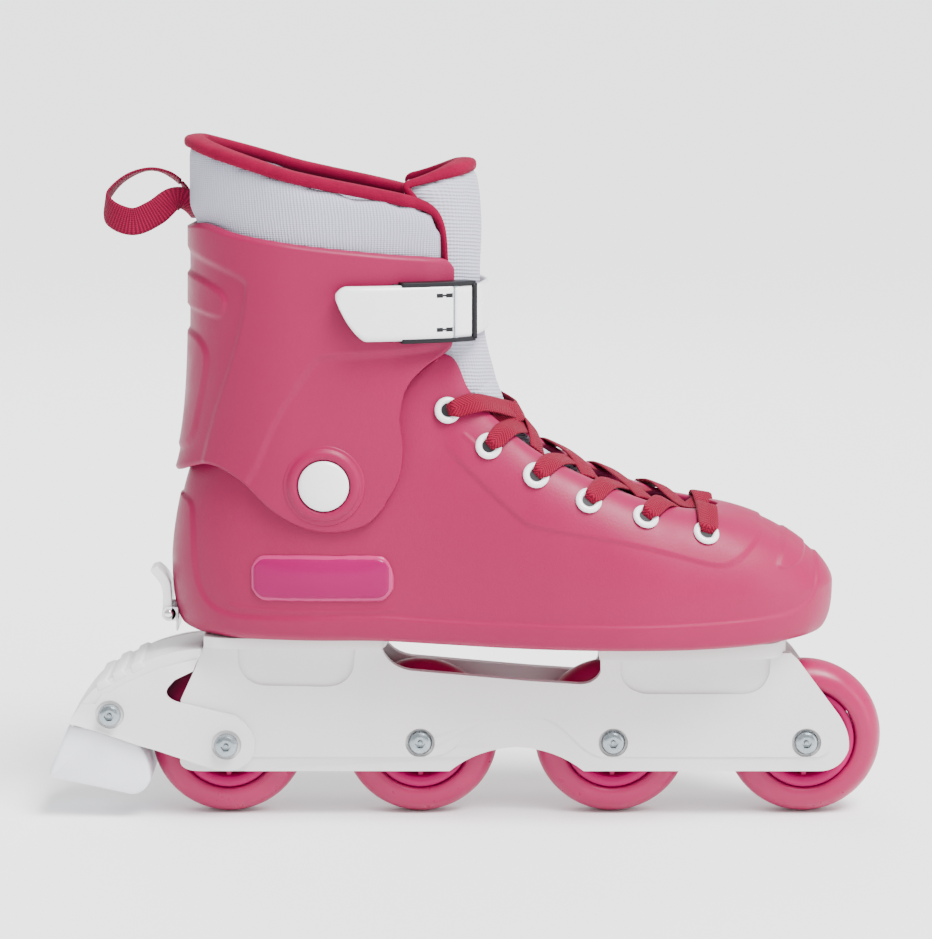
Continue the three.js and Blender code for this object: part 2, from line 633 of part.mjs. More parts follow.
// Plan of the strap's seat, on the cuff at both sides and over the tongue between them.
const SEAT = [[-84, -44.4], [-70, -43.3], [-57, -41], [-46, -38.2], [-37, -35.2], [-29, -31.6],
  [-21.5, -24.6], [-17, -13], [-15.1, 0], [-17, 13], [-21.5, 24.6], [-29, 31.6], [-37, 35.2],
  [-50, 39.5], [-64, 42.6]];
const seatCurve = new THREE.CatmullRomCurve3(SEAT.map(([x, y]) => v3(x, y, STRAP.z)), false, 'centripetal');
const seatAt = (index) => index / (SEAT.length - 1);

function seatPoint(t, lift) {
  const along = seatCurve.getTangent(t);
  const face = v3(along.y, -along.x, 0).normalize();
  return { at: seatCurve.getPoint(t).addScaledVector(face, lift), face };
}

// A strip that follows the seat from t0 to t1 between two heights over it and two levels.
function seatStrip(t0, t1, lift, thick, z0, z1, steps = 6) {
  const points = range(steps + 1).map((i) => {
    const t = lerp(t0, t1, i / steps);
    const base = typeof lift === 'function' ? lift(i / steps) : lift;
    const q = seatPoint(t, base + thick / 2);
    q.at.z = STRAP.z + (z0 + z1) / 2;
    return q;
  });
  return band(points, z1 - z0, thick, 1);
}

const half = BUCKLE.height / 2;
const FLOOR = { lift: 0.5, thick: 1.6 };
const strapLift = FLOOR.lift + FLOOR.thick + GAP;
const leverLift = strapLift + STRAP.thick + GAP;
const leverThick = 4.4;
const strapWide = STRAP.width - 2.6;
const screwT = seatAt(13);

function strap() {
  const body = seatStrip(seatAt(5.35), seatAt(14), (s) => (
    lerp(strapLift, 0.5, smooth(s, 0.11, 0.26))), STRAP.thick, -strapWide / 2, strapWide / 2, 26);
  return body.subtract(screwTool(2.2 + GAP, -4, 8));
}

function screwTool(r, from, to) {
  const { at, face } = seatPoint(screwT, 0);
  return alongNormal([[0, from], [r, from], [r, to], [0, to]], { p: at, normal: face }, 12);
}

function strapScrew() {
  const { at, face } = seatPoint(screwT, 0);
  const under = 0.5 + STRAP.thick + GAP;
  return alongNormal([[0, -2.6], [2.2, -2.6], [2.2, under], [5, under], [4.4, under + 1.8], [0, under + 2.1]],
    { p: at, normal: face }, 14);
}

// The buckle lies on the cuff: a tray that the strap enters, and a lever on a pin across it.
const pinAt = seatPoint(seatAt(4.72), leverLift + leverThick / 2);
const lugZ = 7.6;
function buckleBase() {
  const end = seatAt(6.15);
  const parts = [
    seatStrip(seatAt(2.05), end, FLOOR.lift, FLOOR.thick, -half, half, 8),
    seatStrip(seatAt(5.2), end, leverLift, 2.2, -half, half, 4),
  ];
  const mouth = seatAt(5.2);
  const tall = leverLift + 2.2 - FLOOR.lift;
  for (const [z0, z1] of [[-half, -half + 1.1], [half - 1.1, half]]) {
    parts.push(seatStrip(mouth, end, FLOOR.lift, tall, z0, z1, 4));
  }
  const ear = alongNormal([[0, -1], [2.1, -1], [2.1, 1], [0, 1]], { p: v3(0, 0, 0), normal: v3(0, 0, 1) }, 12);
  const stem = pinAt.face.clone().multiplyScalar(-1);
  for (const z of [-lugZ, lugZ]) {
    const ears = [ear.translate([pinAt.at.x, pinAt.at.y, STRAP.z + z])];
    const foot = box(-1.8, 1.8, 0, leverLift + leverThick / 2 - FLOOR.lift - 0.2, -1, 1);
    const turn = (Math.atan2(stem.y, stem.x) * 180) / Math.PI - 90;
    ears.push(foot.rotate([0, 0, turn]).translate([pinAt.at.x, pinAt.at.y, STRAP.z + z]));
    parts.push(...ears);
  }
  const bore = rodZ(BUCKLE.pin / 2 + GAP, pinAt.at.x, pinAt.at.y, STRAP.z - 20, STRAP.z + 20, 12);
  return joinAll(parts).subtract(bore);
}

function buckleLever() {
  const plate = seatStrip(seatAt(0.25), seatAt(4.72), leverLift, leverThick, -half, half, 8);
  const hub = rodZ(leverThick / 2, pinAt.at.x, pinAt.at.y, STRAP.z - half, STRAP.z + half, 16);
  const slots = [-lugZ, lugZ].map((z) => {
    const slot = box(-10, 8, -6, 8, -1 - GAP, 1 + GAP);
    const turn = (Math.atan2(pinAt.face.y, pinAt.face.x) * 180) / Math.PI + 90;
    return slot.rotate([0, 0, turn]).translate([pinAt.at.x, pinAt.at.y, STRAP.z + z]);
  });
  const bore = rodZ(BUCKLE.pin / 2 + GAP, pinAt.at.x, pinAt.at.y, STRAP.z - 20, STRAP.z + 20, 12);
  return cutAll(plate.add(hub), [...slots, bore]);
}

const bucklePin = rodZ(BUCKLE.pin / 2, pinAt.at.x, pinAt.at.y, STRAP.z - half + 0.4, STRAP.z + half - 0.4, 12);

// Turned webbing loop at the back of the collar: a high thin strand and a low broad one.
const LOOP = [
  [-146.4, 6, 192.5, -1, 0, 0.1], [-149.5, 7, 203, -1, 0, 0.5], [-158, 8, 211, -0.6, 0.2, 1],
  [-168, 8, 213.6, -0.1, 0.1, 1], [-179, 6, 209.5, -0.6, 0.2, 0.9], [-186.5, 1, 201, -1, 0, 0.2],
  [-184, -6, 194.5, -0.7, -0.8, 0], [-174, -9, 191, 0, -1, 0.1], [-164, -8, 195, 0.1, -1, 0.1],
  [-156, -5, 201, -0.1, -0.9, 0.4], [-150, -4, 199.5, -0.5, -0.6, 0.3], [-146.6, -3.5, 192.5, -1, -0.3, 0.1],
];
const pullLoop = () => band(LOOP.map(([x, y, z, a, b, c]) => (
  { at: v3(x, y, z), face: v3(a, b, c).normalize() })), (t) => (t > 0.55 && t < 0.8 ? 12.4 : 11), 1.6, 3);

place(boot, 'strap', strap(), OFF_WHITE);
place(boot, 'strap_screw', strapScrew(), STEEL);
place(boot, 'buckle_base', buckleBase(), BLACK);
place(boot, 'buckle_lever', buckleLever(), OFF_WHITE);
place(boot, 'buckle_pin', bucklePin, STEEL);
place(boot, 'pull_loop', pullLoop(), RED);

place(boot, 'cuff', cuff(), SHELL_PINK);
for (const [side, name] of [[-1, 'lateral'], [1, 'medial']]) {
  place(boot, `ankle_cap_${name}`, ankleCap(side), OFF_WHITE);
  place(boot, `ankle_pin_${name}`, anklePin(side), STEEL);
}
place(boot, 'liner_collar', legWall(collarLower, collarUpper, collarOut, collarOut + LINER.collar, 12, 4), LILAC);

// ---- wheels -------------------------------------------------------------------------------------
const axleZ = WHEEL.diameter / 2;
const axleX = (n) => (2.5 - n) * WHEEL.pitch;      // wheel 1 is the front one
const bearingFace = WHEEL.width / 2;
const bearingSeat = bearingFace - BEARING.width;
const ringProfile = (points) => [...points, points[0]];

function wheel(n) {
  const x = axleX(n);
  const R = WHEEL.diameter / 2;
  const hubR = WHEEL.hub / 2;
  const w = bearingFace;
  const seatR = BEARING.outer / 2 + GAP;
  const inner = hubR + GAP;
  const drop = (share) => R - share * (R - hubR);
  place(chassis, `tyre_${n}`, turnedY(ringProfile([
    [inner, -0.88 * w], [drop(0.7), -w], [drop(0.36), -0.88 * w], [drop(0.1), -0.52 * w], [R, 0],
    [drop(0.1), 0.52 * w], [drop(0.36), 0.88 * w], [drop(0.7), w], [inner, 0.88 * w],
  ]), x, axleZ, 20), TYRE_PINK);
  place(chassis, `hub_${n}`, turnedY(ringProfile([
    [seatR, -w], [seatR + 2.4, -w], [seatR + 3.4, -0.45 * w], [hubR, -0.8 * w],
    [hubR, 0.8 * w], [seatR + 3.4, 0.45 * w], [seatR + 2.4, w], [seatR, w], [seatR, bearingSeat - GAP],
    [seatR - 2.4, bearingSeat - GAP], [seatR - 2.4, GAP - bearingSeat], [seatR, GAP - bearingSeat],
  ]), x, axleZ, 16), HUB_PINK);
  for (const [side, letter] of [[-1, 'a'], [1, 'b']]) {
    const [y0, y1] = [side * bearingSeat, side * bearingFace].sort((p, q) => p - q);
    place(chassis, `bearing_${n}_${letter}`, turnedY(ringProfile([
      [BEARING.bore / 2 + GAP, y0], [BEARING.outer / 2, y0], [BEARING.outer / 2, y1],
      [BEARING.bore / 2 + GAP, y1]]), x, axleZ, 16), DARK_STEEL);
  }
  const reach = bearingSeat - GAP;
  place(chassis, `spacer_${n}`, turnedY(ringProfile([
    [BEARING.bore / 2 + GAP, -reach], [BEARING.bore / 2 + 1.8, -reach], [BEARING.bore / 2 + 1.8, reach],
    [BEARING.bore / 2 + GAP, reach]]), x, axleZ, 12), STEEL);
}

// ---- frame --------------------------------------------------------------------------------------
const frameIn = FRAME.gap / 2;
const frameOut = frameIn + FRAME.wall;
const rear = axleX(4);
const front = axleX(1);
const frameLow = axleZ - FRAME.skirt;
const heelTop = SOLE_Z + HEEL_RISE - GAP;
const heelLow = heelTop - FRAME.heelPlate;
const frontTop = SOLE_Z - GAP;
const frontLow = frontTop - FRAME.frontPlate;
const mid = (axleX(2) + axleX(3)) / 2;

const frameOutline = outline([
  [rear - 9.5, heelLow + 1], [rear - 14.7, 70], [rear - 20.9, 56.5], [rear - 21.7, frameLow + 4.5],
  [rear - 21, frameLow, rear - 12, frameLow], [axleX(3) + 13.5, frameLow],
  [mid - 18, frameLow + 10.6, mid, frameLow + 11.4], [mid + 18, frameLow + 10.6, mid + 31, frameLow],
  [front + 6, frameLow], [front + 16, frameLow, front + 19.5, frameLow + 10],
  [front + 20.5, frameLow + 18, front + 15, frameLow + 26], [front - 4, frontLow - 3],
  [front - 8, frontLow + 1], [mid + 38.5, frontLow + 1], [mid + 38.5, frontLow - 8],
  [mid + 36, frontLow - 13.5, mid + 29, frontLow - 13.6], [mid + 5, frontLow - 12],
  [mid - 45, frontLow - 7.5], [mid - 60, frontLow - 7, mid - 63, heelLow + 1],
]);

function frameBody() {
  const parts = [
    sideSlab(frameOutline, -frameOut, -frameIn),
    sideSlab(frameOutline, frameIn, frameOut),
    box(rear - 9.7, -59, -29, 29, heelLow, heelTop),
    box(37.5, 124.5, -31, 31, frontLow, frontTop),
  ];
  const tools = [];
  for (const n of [1, 2, 3, 4]) {
    for (const side of [-1, 1]) {
      const [b0, b1] = [side * (bearingFace + GAP), side * (frameIn + 1)].sort((p, q) => p - q);
      parts.push(rodY(FRAME.boss / 2, axleX(n), axleZ, b0, b1, 14));
      const [c0, c1] = [side * (frameOut - 2.5), side * (frameOut + 2)].sort((p, q) => p - q);
      tools.push(rodY(AXLE.nut / 2 + 2 * GAP, axleX(n), axleZ, c0, c1, 14));
    }
    tools.push(rodY(AXLE.shank / 2 + GAP, axleX(n), axleZ, -30, 30, 12));
  }
  for (const x of boltSpots) tools.push(rodZ(bootBolt.shank + GAP, x, 0, heelLow - 20, heelTop + 5, 12));
  const panel = (shape) => {
    tools.push(sideSlab(shape, -frameOut - 1, -frameOut + 1.5), sideSlab(shape, frameOut - 1.5, frameOut + 1));
  };
  panel(outline([[-131, heelLow - 2], [-131, 70], [-124, 62.5], [-84, 62.5], [-74.5, 69], [-73, heelLow - 2]]));
  panel(outline([[47.3, frontLow - 2], [49.2, 65.3], [60, 59], [107, 59], [115.5, 66.5], [116.5, frontLow - 2]]));
  return cutAll(joinAll(parts), tools);
}

// The bore of a hexagonal ring that clears a round shank.
const nutBore = (shank) => (shank / 2 + GAP) / Math.cos(30 * deg);

// Bolt head and nut lie in the frame's walls, or on the brake's arm at the rear axle.
function axle(n) {
  const outside = n === 4 ? armOut + GAP : frameOut - 2.5 + GAP;
  const x = axleX(n);
  const y = outside + AXLE.headLength;
  const hex = rodY(2.6, x, axleZ, -y - 1, -y + 2.4, 6);
  place(chassis, `axle_bolt_${n}`, turnedY([[0, -y], [AXLE.head / 2 - 0.8, -y], [AXLE.head / 2, -y + 0.8],
    [AXLE.head / 2, -outside], [AXLE.shank / 2, -outside], [AXLE.shank / 2, y - 1], [0, y - 1]],
  x, axleZ, 14).subtract(hex), STEEL);
  place(chassis, `axle_nut_${n}`, turnedY(ringProfile([[nutBore(AXLE.shank), outside],
    [AXLE.nut / 2, outside], [AXLE.nut / 2, outside + AXLE.nutLength],
    [nutBore(AXLE.shank), outside + AXLE.nutLength]]), x, axleZ, 6), STEEL);
}

// ---- heel brake ---------------------------------------------------------------------------------
const armIn = frameOut + GAP;
const armOut = armIn + BRAKE.armWall;
const brakeBolt = { x: rear - 53.3, z: 50.3 };

const armPoint = ([x, z]) => [rear + x, z];
const ARM_TOP = [[-10.8, 81], [-20.6, 79.9], [-36.5, 75], [-45, 71], [-53, 67], [-60, 62.4], [-72.4, 46]];
const ARM_LOW = [[-59.7, 42.5], [-40.5, 35.7], [-32, 33.3], [-22.4, 30], [-5.3, 24.3]];
const armOutline = outline([
  ...ARM_TOP.map(armPoint), ...ARM_LOW.map(armPoint),
  [rear + 6, 22, rear + 11.5, 29.5], [rear + 16, 38, rear + 8, 46], [rear + 4.2, 49.2],
  [rear - 22, 55.4], [rear - 30, 58, rear - 26, 63.5], [rear - 23.2, 66.5], [rear - 14.8, 70.6],
]);
const skinOutline = outline([
  [rear - 26, 77.8], [rear - 36.5, 74.6], [rear - 45, 70.6], [rear - 53, 66.6], [rear - 60, 62], [rear - 72, 46],
  [rear - 68.8, 46], [rear - 58, 60], [rear - 51.5, 64.2], [rear - 44, 68], [rear - 36, 71.6], [rear - 26, 74.8],
]);

function brakeArm() {
  const body = joinAll([
    sideSlab(armOutline, -armOut, -armIn), sideSlab(armOutline, armIn, armOut),
    sideSlab(skinOutline, -armIn - 1, armIn + 1),
  ]);
  return cutAll(body, [
    rodY(AXLE.shank / 2 + GAP, rear, axleZ, -40, 40, 12),
    rodY(BRAKE.bolt / 2 + GAP, brakeBolt.x, brakeBolt.z, -40, 40, 12),
  ]);
}

const padOutline = outline([
  [rear - 72.6, 44.6], [rear - 82, 22.5], [rear - 82.4, 20, rear - 80, 19.4], [rear - 44, 11.5],
  [rear - 38, 12, rear - 35.5, 18], [rear - 34.8, 27, rear - 39.5, 33.6],
  [rear - 40.8, 35.2], [rear - 59.7, 42],
]);
const lugOutline = outline([
  [rear - 67, 43], [rear - 57.4, 58], [rear - 52, 61.8], [rear - 46.5, 60], [rear - 42, 37], [rear - 60, 40],
]);

function brakePad() {
  const wide = BRAKE.pad / 2;
  return joinAll([sideSlab(padOutline, -wide, wide), sideSlab(lugOutline, GAP - armIn, armIn - GAP)])
    .subtract(rodY(BRAKE.bolt / 2 + GAP, brakeBolt.x, brakeBolt.z, -40, 40, 12));
}

const brakeBoltBody = turnedY([[0, -armOut - GAP - 3], [5, -armOut - GAP - 3], [5, -armOut - GAP],
  [BRAKE.bolt / 2, -armOut - GAP], [BRAKE.bolt / 2, armOut + 4], [0, armOut + 4]],
brakeBolt.x, brakeBolt.z, 14).subtract(rodY(2, brakeBolt.x, brakeBolt.z, -armOut - 5, -armOut - 1.6, 6));
const brakeNut = turnedY(ringProfile([[nutBore(BRAKE.bolt), armOut + GAP], [5.4, armOut + GAP],
  [5.4, armOut + 4.8], [nutBore(BRAKE.bolt), armOut + 4.8]]), brakeBolt.x, brakeBolt.z, 6);

// ---- heel lever ---------------------------------------------------------------------------------
const heelPin = { x: BOOT.heelX - 2.1, z: 10.4 };
const leverHalf = LEVER.width / 2;
const leverOutline = outline([
  [-3.3, 0], [-3, 5.9], [-2.6, 9.4, -3.6, 12.6], [-5, 15.8, -8, 18.6], [-8.6, 20.6], [-5.4, 21.4],
  [-0.6, 18.4, 0.6, 13], [1, 8], [1.2, 0],
].map((p) => p.map((q, i) => q + (i % 2 ? heelPin.z : heelPin.x))));

const heelLever = joinAll([
  sideSlab(leverOutline, -leverHalf, leverHalf),
  rodY(LEVER.hub / 2, heelPin.x, heelPin.z, -leverHalf, leverHalf, 14),
]).subtract(rodY(LEVER.pin / 2 + GAP, heelPin.x, heelPin.z, -20, 20, 12));

function heelLeverBracket() {
  const plateX = BOOT.heelX + 1.2;
  const ears = [-1, 1].flatMap((side) => {
    const [y0, y1] = [side * (leverHalf + GAP), side * (leverHalf + 2)].sort((p, q) => p - q);
    return [rodY(3.3, heelPin.x, heelPin.z, y0, y1, 14),
      box(heelPin.x, plateX, y0, y1, heelPin.z - 3.2, heelPin.z + 3)];
  });
  const plate = box(plateX - 0.1, plateX + 0.8, -leverHalf - 2, leverHalf + 2, heelPin.z - 8, heelPin.z + 1);
  return joinAll([plate, ...ears]).subtract(rodY(LEVER.pin / 2 + GAP, heelPin.x, heelPin.z, -20, 20, 12));
}

[1, 2, 3, 4].forEach((n) => {
  wheel(n);
  axle(n);
});
place(chassis, 'frame', frameBody(), OFF_WHITE);
boltSpots.forEach((x, i) => {
  const top = SOLE_Z + BOOT.sole + HEEL_RISE - GAP;
  const low = i === 0 ? heelLow : frontLow;
  place(chassis, `frame_bolt_${i === 0 ? 'heel' : 'front'}`, turnedZ([[0, low], [bootBolt.shank, low],
    [bootBolt.shank, top - bootBolt.headHeight], [bootBolt.head, top - bootBolt.headHeight],
    [bootBolt.head, top], [0, top]], x, 0, 14), STEEL);
});
place(chassis, 'brake_arm', brakeArm(), OFF_WHITE);
place(chassis, 'brake_pad', brakePad(), WHITE_RUBBER);
place(chassis, 'brake_bolt', brakeBoltBody, STEEL);
place(chassis, 'brake_nut', brakeNut, STEEL);
place(boot, 'heel_lever', heelLever, OFF_WHITE);
place(boot, 'heel_lever_bracket', heelLeverBracket(), OFF_WHITE);
place(boot, 'heel_lever_pin', rodY(LEVER.pin / 2, heelPin.x, heelPin.z, -leverHalf - 2.4, leverHalf + 2.4, 12), CHROME);

export default skate;
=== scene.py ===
"""Finished surfaces of an in-line roller skate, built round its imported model.

The shapes are worked out in millimetres in the skate's own layout: x from the middle of the wheelbase
towards the toe, y towards the inner side of the foot, and z up from the boot's sole or the ground.
They are written to the meshes in metres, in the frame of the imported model.
"""
import math

import bmesh
import bpy
import numpy as np
from mathutils import Matrix, Vector


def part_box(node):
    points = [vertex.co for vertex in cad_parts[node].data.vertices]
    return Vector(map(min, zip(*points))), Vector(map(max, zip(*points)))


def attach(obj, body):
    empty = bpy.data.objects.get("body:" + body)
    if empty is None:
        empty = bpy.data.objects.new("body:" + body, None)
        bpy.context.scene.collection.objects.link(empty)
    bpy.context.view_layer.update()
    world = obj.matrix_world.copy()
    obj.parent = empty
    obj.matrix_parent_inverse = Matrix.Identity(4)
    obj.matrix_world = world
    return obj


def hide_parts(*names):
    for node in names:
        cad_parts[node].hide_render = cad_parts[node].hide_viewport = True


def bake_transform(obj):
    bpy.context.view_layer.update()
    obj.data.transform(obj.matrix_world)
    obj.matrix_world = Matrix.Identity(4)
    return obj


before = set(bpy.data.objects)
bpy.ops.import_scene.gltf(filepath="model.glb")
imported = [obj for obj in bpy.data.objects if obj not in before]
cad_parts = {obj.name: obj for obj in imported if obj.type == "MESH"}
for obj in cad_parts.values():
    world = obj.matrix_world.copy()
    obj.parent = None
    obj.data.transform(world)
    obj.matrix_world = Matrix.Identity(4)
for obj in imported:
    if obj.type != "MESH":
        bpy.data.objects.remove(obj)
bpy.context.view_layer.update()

MM = 0.001


def middle(node):
    """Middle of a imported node, in millimetres."""
    low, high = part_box(node)
    return (low + high) / 2 / MM


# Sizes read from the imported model.
CENTRE_X = (middle("tyre_2").x + middle("tyre_3").x) / 2
PITCH = middle("tyre_1").x - middle("tyre_2").x
AXLE_Z = middle("tyre_1").z
WHEEL_R = AXLE_Z
SOLE_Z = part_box("boot_shell")[0].z / MM
HEEL_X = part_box("boot_shell")[0].x / MM - CENTRE_X
TOE_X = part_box("boot_shell")[1].x / MM - CENTRE_X
PIVOT_X = middle("ankle_cap_lateral").x - CENTRE_X
PIVOT_Z = middle("ankle_cap_lateral").z - SOLE_Z

# Sizes that drive the rest, in millimetres.
HALF_WIDTH = 49          # half of the boot's width at the ball of the foot
WALL = 3.6               # wall of the hard boot
HEEL_RISE = 3            # how much higher the sole is at the heel
MEDIAL_SHIFT = 3.5       # how far the toe leans to the inner side
CAP_R = 11.3             # white cap over the ankle pivot
BOSS_R = 15.5            # raised ring round that cap
CUFF_HALF = 44           # half of the cuff's width at the ankle
CUFF_WALL = 2.8
CUFF_RIM = 190           # height of the cuff's rim at the heel
STRAP_Z = 153.3          # height of the strap's middle
GAP = 0.3                # clearance between pieces that touch


# ---- small maths ------------------------------------------------------------------------------
def smooth(value, low, high):
    """Rises smoothly from 0 at low to 1 at high."""
    t = np.clip((np.asarray(value, float) - low) / (high - low), 0, 1)
    return t * t * (3 - 2 * t)


def lerp(a, b, t):
    return a + (b - a) * t


def unit(vectors):
    size = np.linalg.norm(vectors, axis=-1, keepdims=True)
    return vectors / np.maximum(size, 1e-9)


def spline(points, t, closed=False):
    """Catmull-Rom curve through points, at an array of t from 0 to 1."""
    points = np.asarray(points, float)
    n = len(points)
    place = np.asarray(t, float) * (n if closed else n - 1)
    i = np.floor(place).astype(int)
    if not closed:
        i = np.clip(i, 0, n - 2)
    w = (place - i)[..., None]
    pick = (lambda k: points[k % n]) if closed else (lambda k: points[np.clip(k, 0, n - 1)])
    p0, p1, p2, p3 = pick(i - 1), pick(i), pick(i + 1), pick(i + 2)
    m1, m2 = (p2 - p0) / 2, (p3 - p1) / 2
    return p1 + m1 * w + (3 * (p2 - p1) - 2 * m1 - m2) * w ** 2 + (2 * (p1 - p2) + m1 + m2) * w ** 3


def run_along(points):
    """Distance along a path at each of its points."""
    return np.concatenate([[0], np.cumsum(np.linalg.norm(np.diff(points, axis=0), axis=1))])


def even(points, count):
    """The same path with its points evenly spaced."""
    points = np.asarray(points, float)
    run = run_along(points)
    at = np.linspace(0, run[-1], count)
    return np.stack([np.interp(at, run, points[:, k]) for k in range(points.shape[1])], axis=1)


def rounded(points, rounds=2):
    """An open line with its corners cut round."""
    points = np.asarray(points, float)
    for _ in range(rounds):
        a, b = points[:-1], points[1:]
        cut = np.stack([lerp(a, b, 0.25), lerp(a, b, 0.75)], axis=1).reshape(-1, points.shape[1])
        points = np.vstack([points[:1], cut, points[-1:]])
    return points


def beside(x, z, line):
    """Signed distance to a line in the side view: positive on its left, going along it."""
    best = np.full(np.shape(x), 1e9)
    sign = np.ones(np.shape(x))
    for a, b in zip(line[:-1], line[1:]):
        d = b - a
        t = np.clip(((x - a[0]) * d[0] + (z - a[1]) * d[1]) / (d @ d), 0, 1)
        px, pz = x - a[0] - t * d[0], z - a[1] - t * d[1]
        away = np.hypot(px, pz)
        closer = away < best
        best = np.where(closer, away, best)
        sign = np.where(closer, np.sign(d[0] * pz - d[1] * px + 1e-9), sign)
    return best * sign


def step(x, z, line, height, width):
    """A surface that lies higher by height on the left of a line."""
    return height * smooth(beside(x, z, rounded(line)), -width / 2, width / 2)


def ridge(x, z, line, height, width):
    """A raised line on a surface."""
    away = np.abs(beside(x, z, rounded(line)))
    return height * (1 - smooth(away, 0, width))


def pad(x, z, corners, height, width):
    """A raised pad inside a closed outline whose corners go round anticlockwise."""
    ring = rounded(np.vstack([corners, corners[:1]]))
    near = np.full(np.shape(x), 1e9)
    turns = np.zeros(np.shape(x))
    for a, b in zip(ring, np.roll(ring, -1, axis=0)):
        d = b - a
        if d @ d < 1e-9:
            continue
        t = np.clip(((x - a[0]) * d[0] + (z - a[1]) * d[1]) / (d @ d), 0, 1)
        near = np.minimum(near, np.hypot(x - a[0] - t * d[0], z - a[1] - t * d[1]))
        crosses = (a[1] > z) != (b[1] > z)
        at = a[0] + (z - a[1]) * d[0] / (d[1] if abs(d[1]) > 1e-9 else 1e-9)
        turns += crosses & (x < at)
    inside = np.where(turns % 2 == 1, 1, -1)
    return height * smooth(near * inside, -width / 2, width / 2)


# ---- meshes -----------------------------------------------------------------------------------
def make(name, points, faces, finish, body, slot, base=0.0):
    """A mesh piece from points in the skate's layout, whose z counts from base."""
    points = np.asarray(points, float).reshape(-1, 3)
    mesh = bpy.data.meshes.new(name)
    mesh.from_pydata(((points + [CENTRE_X, 0, base]) * MM).tolist(), [], faces)
    mesh.validate()
    mesh.polygons.foreach_set("use_smooth", [True] * len(mesh.polygons))
    mesh.materials.append(finish)
    piece = bpy.data.objects.new(name, mesh)
    bpy.context.scene.collection.objects.link(piece)
    piece["plan"] = f"{body}|{slot}"
    return piece


def settle(piece, *nodes):
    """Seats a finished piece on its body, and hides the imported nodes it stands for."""
    body, slot = piece["plan"].split("|")
    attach(piece, body)
    if nodes:
        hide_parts(*nodes)
    return piece


def grid_faces(rows, columns, wrap_rows=False, wrap_columns=False):
    """Quads of a grid stored row by row."""
    r = np.arange(rows if wrap_rows else rows - 1)
    c = np.arange(columns if wrap_columns else columns - 1)
    rr, cc = np.meshgrid(r, c, indexing="ij")
    a = rr * columns + cc
    b = rr * columns + (cc + 1) % columns
    d = ((rr + 1) % rows) * columns + cc
    e = ((rr + 1) % rows) * columns + (cc + 1) % columns
    return np.stack([a, b, e, d], axis=-1).reshape(-1, 4).tolist()


def tube_faces(rings, size):
    """Faces of a row of closed rings of a size, with a cap on the first and the last."""
    last = (rings - 1) * size
    caps = [list(range(size))[::-1], [last + k for k in range(size)]]
    return grid_faces(rings, size, wrap_columns=True) + caps


def plate_faces(loops, across):
    """Faces of a plate. Each loop runs over its face and back underneath, across points each way."""
    size = 2 * across
    last = (loops - 1) * size
    faces = grid_faces(loops, size, wrap_columns=True)
    for i in range(across - 1):
        faces.append([size - 1 - i, size - 2 - i, i + 1, i])
        faces.append([last + i, last + i + 1, last + size - 2 - i, last + size - 1 - i])
    return faces


def bowl_faces(rings, around):
    """Faces of a bowl: rings down its outside and inside, with strips across its first and last."""
    faces = grid_faces(rings, around, wrap_columns=True)
    last = (rings - 1) * around
    for i in range(around // 2):
        a, b, c, d = i, i + 1, (around - i - 1) % around, (around - i) % around
        faces += [[d, c, b, a], [last + a, last + b, last + c, last + d]]
    return faces


def outward(piece, merge=True):
    """Turns every face of a closed piece outwards."""
    tool = bmesh.new()
    tool.from_mesh(piece.data)
    if merge:
        bmesh.ops.remove_doubles(tool, verts=tool.verts, dist=1e-6)
    bmesh.ops.recalc_face_normals(tool, faces=tool.faces)
    tool.to_mesh(piece.data)
    tool.free()
    return piece


def apply(piece):
    """Turns a piece's modifiers into plain mesh."""
    graph = bpy.context.evaluated_depsgraph_get()
    mesh = bpy.data.meshes.new_from_object(piece.evaluated_get(graph))
    piece.modifiers.clear()
    piece.data = mesh
    return piece


def bevel(piece, width, segments):
    """Rounds the edges of a piece that turn by more than 35 degrees."""
    tool = piece.modifiers.new("edges", "BEVEL")
    tool.width = width * MM
    tool.segments = segments
    tool.limit_method = "ANGLE"
    tool.angle_limit = math.radians(35)
    tool.harden_normals = False
    return apply(piece)


def by_angle(piece, degrees=35):
    """Smooth shading, with sharp edges kept."""
    mesh = piece.data
    tool = bmesh.new()
    tool.from_mesh(mesh)
    limit = math.radians(degrees)
    for edge in tool.edges:
        edge.smooth = not (edge.is_manifold and edge.calc_face_angle(0) > limit)
    for face in tool.faces:
        face.smooth = True
    tool.to_mesh(mesh)
    tool.free()
    return piece


def joined(name, pieces):
    """One piece from several."""
    first = pieces[0]
    tool = bmesh.new()
    for piece in pieces:
        tool.from_mesh(piece.data)
    mesh = bpy.data.meshes.new(name)
    tool.to_mesh(mesh)
    tool.free()
    for material in first.data.materials:
        mesh.materials.append(material)
    first.data = mesh
    for piece in pieces[1:]:
        bpy.data.objects.remove(piece)
    first.name = name
    return first


def turned(name, profile, x, z, finish, body, slot, segments, base=0.0):
    """A piece turned about an axis along y. The profile is radius and y, closed on itself."""
    profile = np.asarray(profile, float)
    angle = np.linspace(0, 2 * np.pi, segments, endpoint=False)
    ring = np.stack([
        x + profile[:, :1] * np.cos(angle), np.broadcast_to(profile[:, 1:], (len(profile), segments)),
        z + profile[:, :1] * np.sin(angle)], axis=-1)
    faces = grid_faces(len(profile), segments, wrap_rows=True, wrap_columns=True)
    return outward(make(name, ring, faces, finish, body, slot, base))


def slab(name, outline, y0, y1, finish, body, slot, base=0.0):
    """An outline in the side view, made solid between two y values."""
    outline = np.asarray(outline, float)
    n = len(outline)
    near = np.stack([outline[:, 0], np.full(n, y0), outline[:, 1]], axis=1)
    far = near + [0, y1 - y0, 0]
    faces = [list(range(n)), list(range(2 * n - 1, n - 1, -1))]
    faces += [[i, n + i, n + (i + 1) % n, (i + 1) % n] for i in range(n)]
    return outward(make(name, np.vstack([near, far]), faces, finish, body, slot, base))


